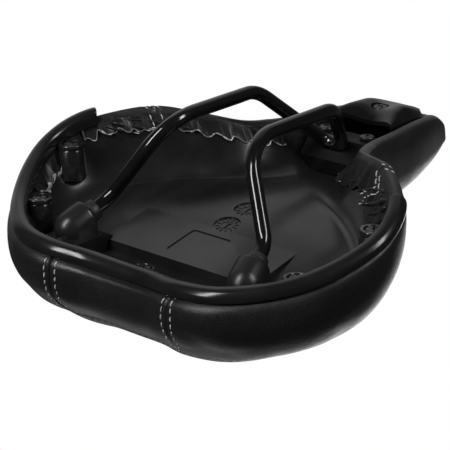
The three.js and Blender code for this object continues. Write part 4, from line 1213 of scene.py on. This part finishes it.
step_outline = [[STEP["y"], STEP["z"]], [STEP["y"] + STEP["run"], STEP["z"] - STEP["fall"]],
                [STEP["y"] + STEP["run"], STEP["z"] - STEP["fall"] + 4.0], [STEP["y"], 61.5]]
cuts = [(raw_object("step", *prism(step_outline, STEP["half_w"], 0.6)), "UNION"),
        (raw_object("label", *label_cutter()), "DIFFERENCE")]
cuts += [(raw_object(f"stamp_{n}", *stamp_cutter(*row)), "DIFFERENCE") for n, row in enumerate(STAMPS)]
mesh_piece("pan_shell", *pan_shape(), PAN, "pan_plastic", ("base_pan",), 34.0, cut=cuts)
marks = join([stamp_marks(*row) for row in STAMPS])
mesh_piece("pan_date_marks", *marks, PAN, "pan_plastic", sharp_deg=30.0)
pad_outline = [[-78, SOCKET["pad_z"]], [-57, SOCKET["pad_z"] + 0.3], [-50, STEP["z"] - 1.0],
               [-50, 62], [-78, 62]]
v, f = prism(pad_outline, 9.5, 0.5)
pads = join([(v + [side * SOCKET["x"], 0, 0], f) for side in (-1, 1)])
mesh_piece("pan_socket_pads", *pads, PAN, "pan_plastic", bevel=0.7)


# ---------- nose cap ----------
def neck_station(y):
    """Station whose rim point has this y, in front of the widest part."""
    grid = np.linspace(10, LAST, 400)
    return np.interp(y, rim_at(grid)[:, 1], grid)


def cap_face(across, along):
    """Underside of the cap: across -1..1, along 0 at its notched rear to 1 at the nose."""
    rear = CAP["y0"] + CAP["notch"] * (1 - across**2)
    y = rear + along * (CAP["y1"] - rear)
    row = rim_at(neck_station(y + CAP["inset"] / 2))
    half_w = np.maximum(0.4, row[..., 0] - CAP["inset"]) * np.sqrt(np.maximum(0.0016, 1 - along**9))
    flat = CAP["z0"] + CAP["fall"] * (np.hypot(np.maximum(0, y - CAP["knee"]), 5) - 5)
    flat = flat + CAP["lip"] * np.maximum(0, 1 - along / CAP["lip_run"]) ** 2 * (1 - across**4)
    valley = np.cos(np.clip(across / 0.8, -1, 1) * math.pi / 2) ** 2
    flat = flat + CAP["dip"] * valley * (1 - smoothstep(along, 0.35, 0.8))
    z = flat + np.maximum(0, row[..., 2] - 0.6 - flat) * np.abs(across) ** 5
    return np.stack([across * half_w, y, z], -1)


def cap_shape():
    along = np.concatenate([np.linspace(0, 0.12, 12), np.linspace(0.12, 0.9, 42)[1:],
                            np.linspace(0.9, 1, 14)[1:]])[:, None]
    across = np.sin(np.linspace(-1, 1, 61) * math.pi / 2)[None]
    face = cap_face(across + 0 * along, along + 0 * across)
    return slab(face, face + np.array([0, 0, CAP["t"]]))


cap_z = float(cap_face(np.array(0.0), np.array(0.2))[2])
hole = lathe([[0, -6], [SCREW_HEAD_R + 1.3, -6], [SCREW_HEAD_R + 1.1, -0.2], [SCREW_HEAD_R + 0.35, 0.5],
              [SCREW_HEAD_R + 0.25, 1.5], [0, 1.5]], 48)
boss_v, boss_f = lathe([[0, 1.5], [5.6, 1.5], [5.6, 6.5], [0, 6.5]], 40)
cap_cut = [(raw_object("boss", boss_v + [0, CAP["screw_y"], cap_z], boss_f), "UNION"),
           (raw_object("hole", hole[0] + [0, CAP["screw_y"], cap_z + 0.4], hole[1]), "DIFFERENCE")]
mesh_piece("nose_cap_shell", *cap_shape(), CAP_MAT, "cap_plastic", ("nose_cap",), 38.0, cut=cap_cut)
screw("screw_nose_cap", 0, CAP["screw_y"], cap_z + SCREW_SEAT, 0.5, "nose_cap_screw")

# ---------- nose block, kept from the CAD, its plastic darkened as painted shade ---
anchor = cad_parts["nose_anchor"]
anchor.data.materials.clear()
anchor.data.materials.append(SHADED_BLOCK_PLASTIC)
soft = anchor.modifiers.new("soft_edges", "BEVEL")
soft.width, soft.segments, soft.limit_method, soft.angle_limit = 0.8 * MM, 3, "ANGLE", math.radians(40)

# ---------- camera ----------
CAM_RIGHT = Vector((-0.7824733, 0.6226185, -0.0090422))
CAM_UP = Vector((0.2348468, 0.2816316, -0.9303390))
CAM_BACK = Vector((-0.5766997, -0.7300890, -0.3665892))
CAM_AT = Vector((-0.442602, -0.579301, -0.233040))
CAM_LENS = 136.07

camera_data = bpy.data.cameras.new("camera")
camera_data.lens, camera_data.sensor_width = CAM_LENS, 36.0
camera_data.clip_start, camera_data.clip_end = 0.05, 30.0
camera = bpy.data.objects.new("camera", camera_data)
bpy.context.scene.collection.objects.link(camera)
rows = [[CAM_RIGHT[i], CAM_UP[i], CAM_BACK[i], CAM_AT[i]] for i in range(3)]
camera.matrix_world = Matrix([*rows, [0, 0, 0, 1]])
bpy.context.scene.camera = camera

# ---------- studio ----------
HEART = Vector((0.0, 0.02, 0.03))


def lamp(name, right, up, back, wide, tall, watts):
    """Soft box placed by the camera's own directions around the seat, in metres."""
    data = bpy.data.lights.new(name, "AREA")
    data.shape, data.size, data.size_y, data.energy = "RECTANGLE", wide, tall, watts
    obj = bpy.data.objects.new(name, data)
    bpy.context.scene.collection.objects.link(obj)
    obj.location = HEART + CAM_RIGHT * right + CAM_UP * up + CAM_BACK * back
    obj.rotation_euler = (HEART - obj.location).to_track_quat("-Z", "Y").to_euler()
    obj.visible_camera = False


# name; right, up and back in metres; width and height; watts
for row in (("box_left", -0.82, 0.52, 0.9, 0.26, 0.95, 12.0),
            ("box_right", 0.93, 0.60, 0.80, 0.24, 0.8, 7.0),
            ("top_wide", 0.1, 1.2, -0.3, 1.2, 0.9, 0.7),
            ("behind", 0.45, -0.42, -1.25, 0.8, 0.8, 5.0),
            ("above_seat", -0.2, -1.0, -0.95, 1.2, 1.0, 2.2)):
    lamp(*row)

# world: white to the camera, a dim room with one bright patch to everything else
world = bpy.data.worlds.new("studio")
bpy.context.scene.world = world
world.use_nodes = True
sky = Tree(world.node_tree)
sky.tree.nodes.clear()
toward = sky.add("ShaderNodeVectorMath", operation="DOT_PRODUCT")
toward.inputs[1].default_value = tuple(Vector((0.75, 0.60, -0.28)).normalized())
sky.link(sky.add("ShaderNodeTexCoord").outputs["Generated"], toward.inputs[0])
scaled = sky.add("ShaderNodeMapRange", From_Min=-1.0)
sky.link(toward.outputs["Value"], scaled.inputs["Value"])
ramp = sky.add("ShaderNodeValToRGB")
sky.link(scaled.outputs[0], ramp.inputs[0])
for stop, position, level in zip(ramp.color_ramp.elements, (0.87, 0.985), (0.045, 0.50)):
    stop.position, stop.color = position, (level, level, level, 1)
dim = sky.add("ShaderNodeBackground")
sky.link(ramp.outputs[0], dim.inputs["Color"])
white = sky.add("ShaderNodeBackground", Color=(1, 1, 1, 1), Strength=1.0)
both, out = sky.add("ShaderNodeMixShader"), sky.add("ShaderNodeOutputWorld")
sky.link(sky.add("ShaderNodeLightPath").outputs["Is Camera Ray"], both.inputs[0])
sky.link(dim.outputs[0], both.inputs[1])
sky.link(white.outputs[0], both.inputs[2])
sky.link(both.outputs[0], out.inputs["Surface"])
bpy.context.scene.view_settings.view_transform = "Standard"

FLOOR_Z, FLOOR_HALF = -0.30, 6.0
floor_mesh = bpy.data.meshes.new("floor")
corners = [(x * FLOOR_HALF, y * FLOOR_HALF, FLOOR_Z) for x, y in ((-1, -1), (1, -1), (1, 1), (-1, 1))]
floor_mesh.from_pydata(corners, [], [(0, 1, 2, 3)])
floor = bpy.data.objects.new("floor", floor_mesh)
bpy.context.scene.collection.objects.link(floor)
pale = Nodes("floor_pale")
floor_mesh.materials.append(pale.shade(
    Base_Color=pale.mix(pale.noise(1.5), (0.86, 0.86, 0.86), (0.9, 0.9, 0.9)), Roughness=0.9,
    Emission_Color=(1.0, 1.0, 1.0), Emission_Strength=0.6))
floor.visible_diffuse = floor.visible_glossy = floor.visible_shadow = False
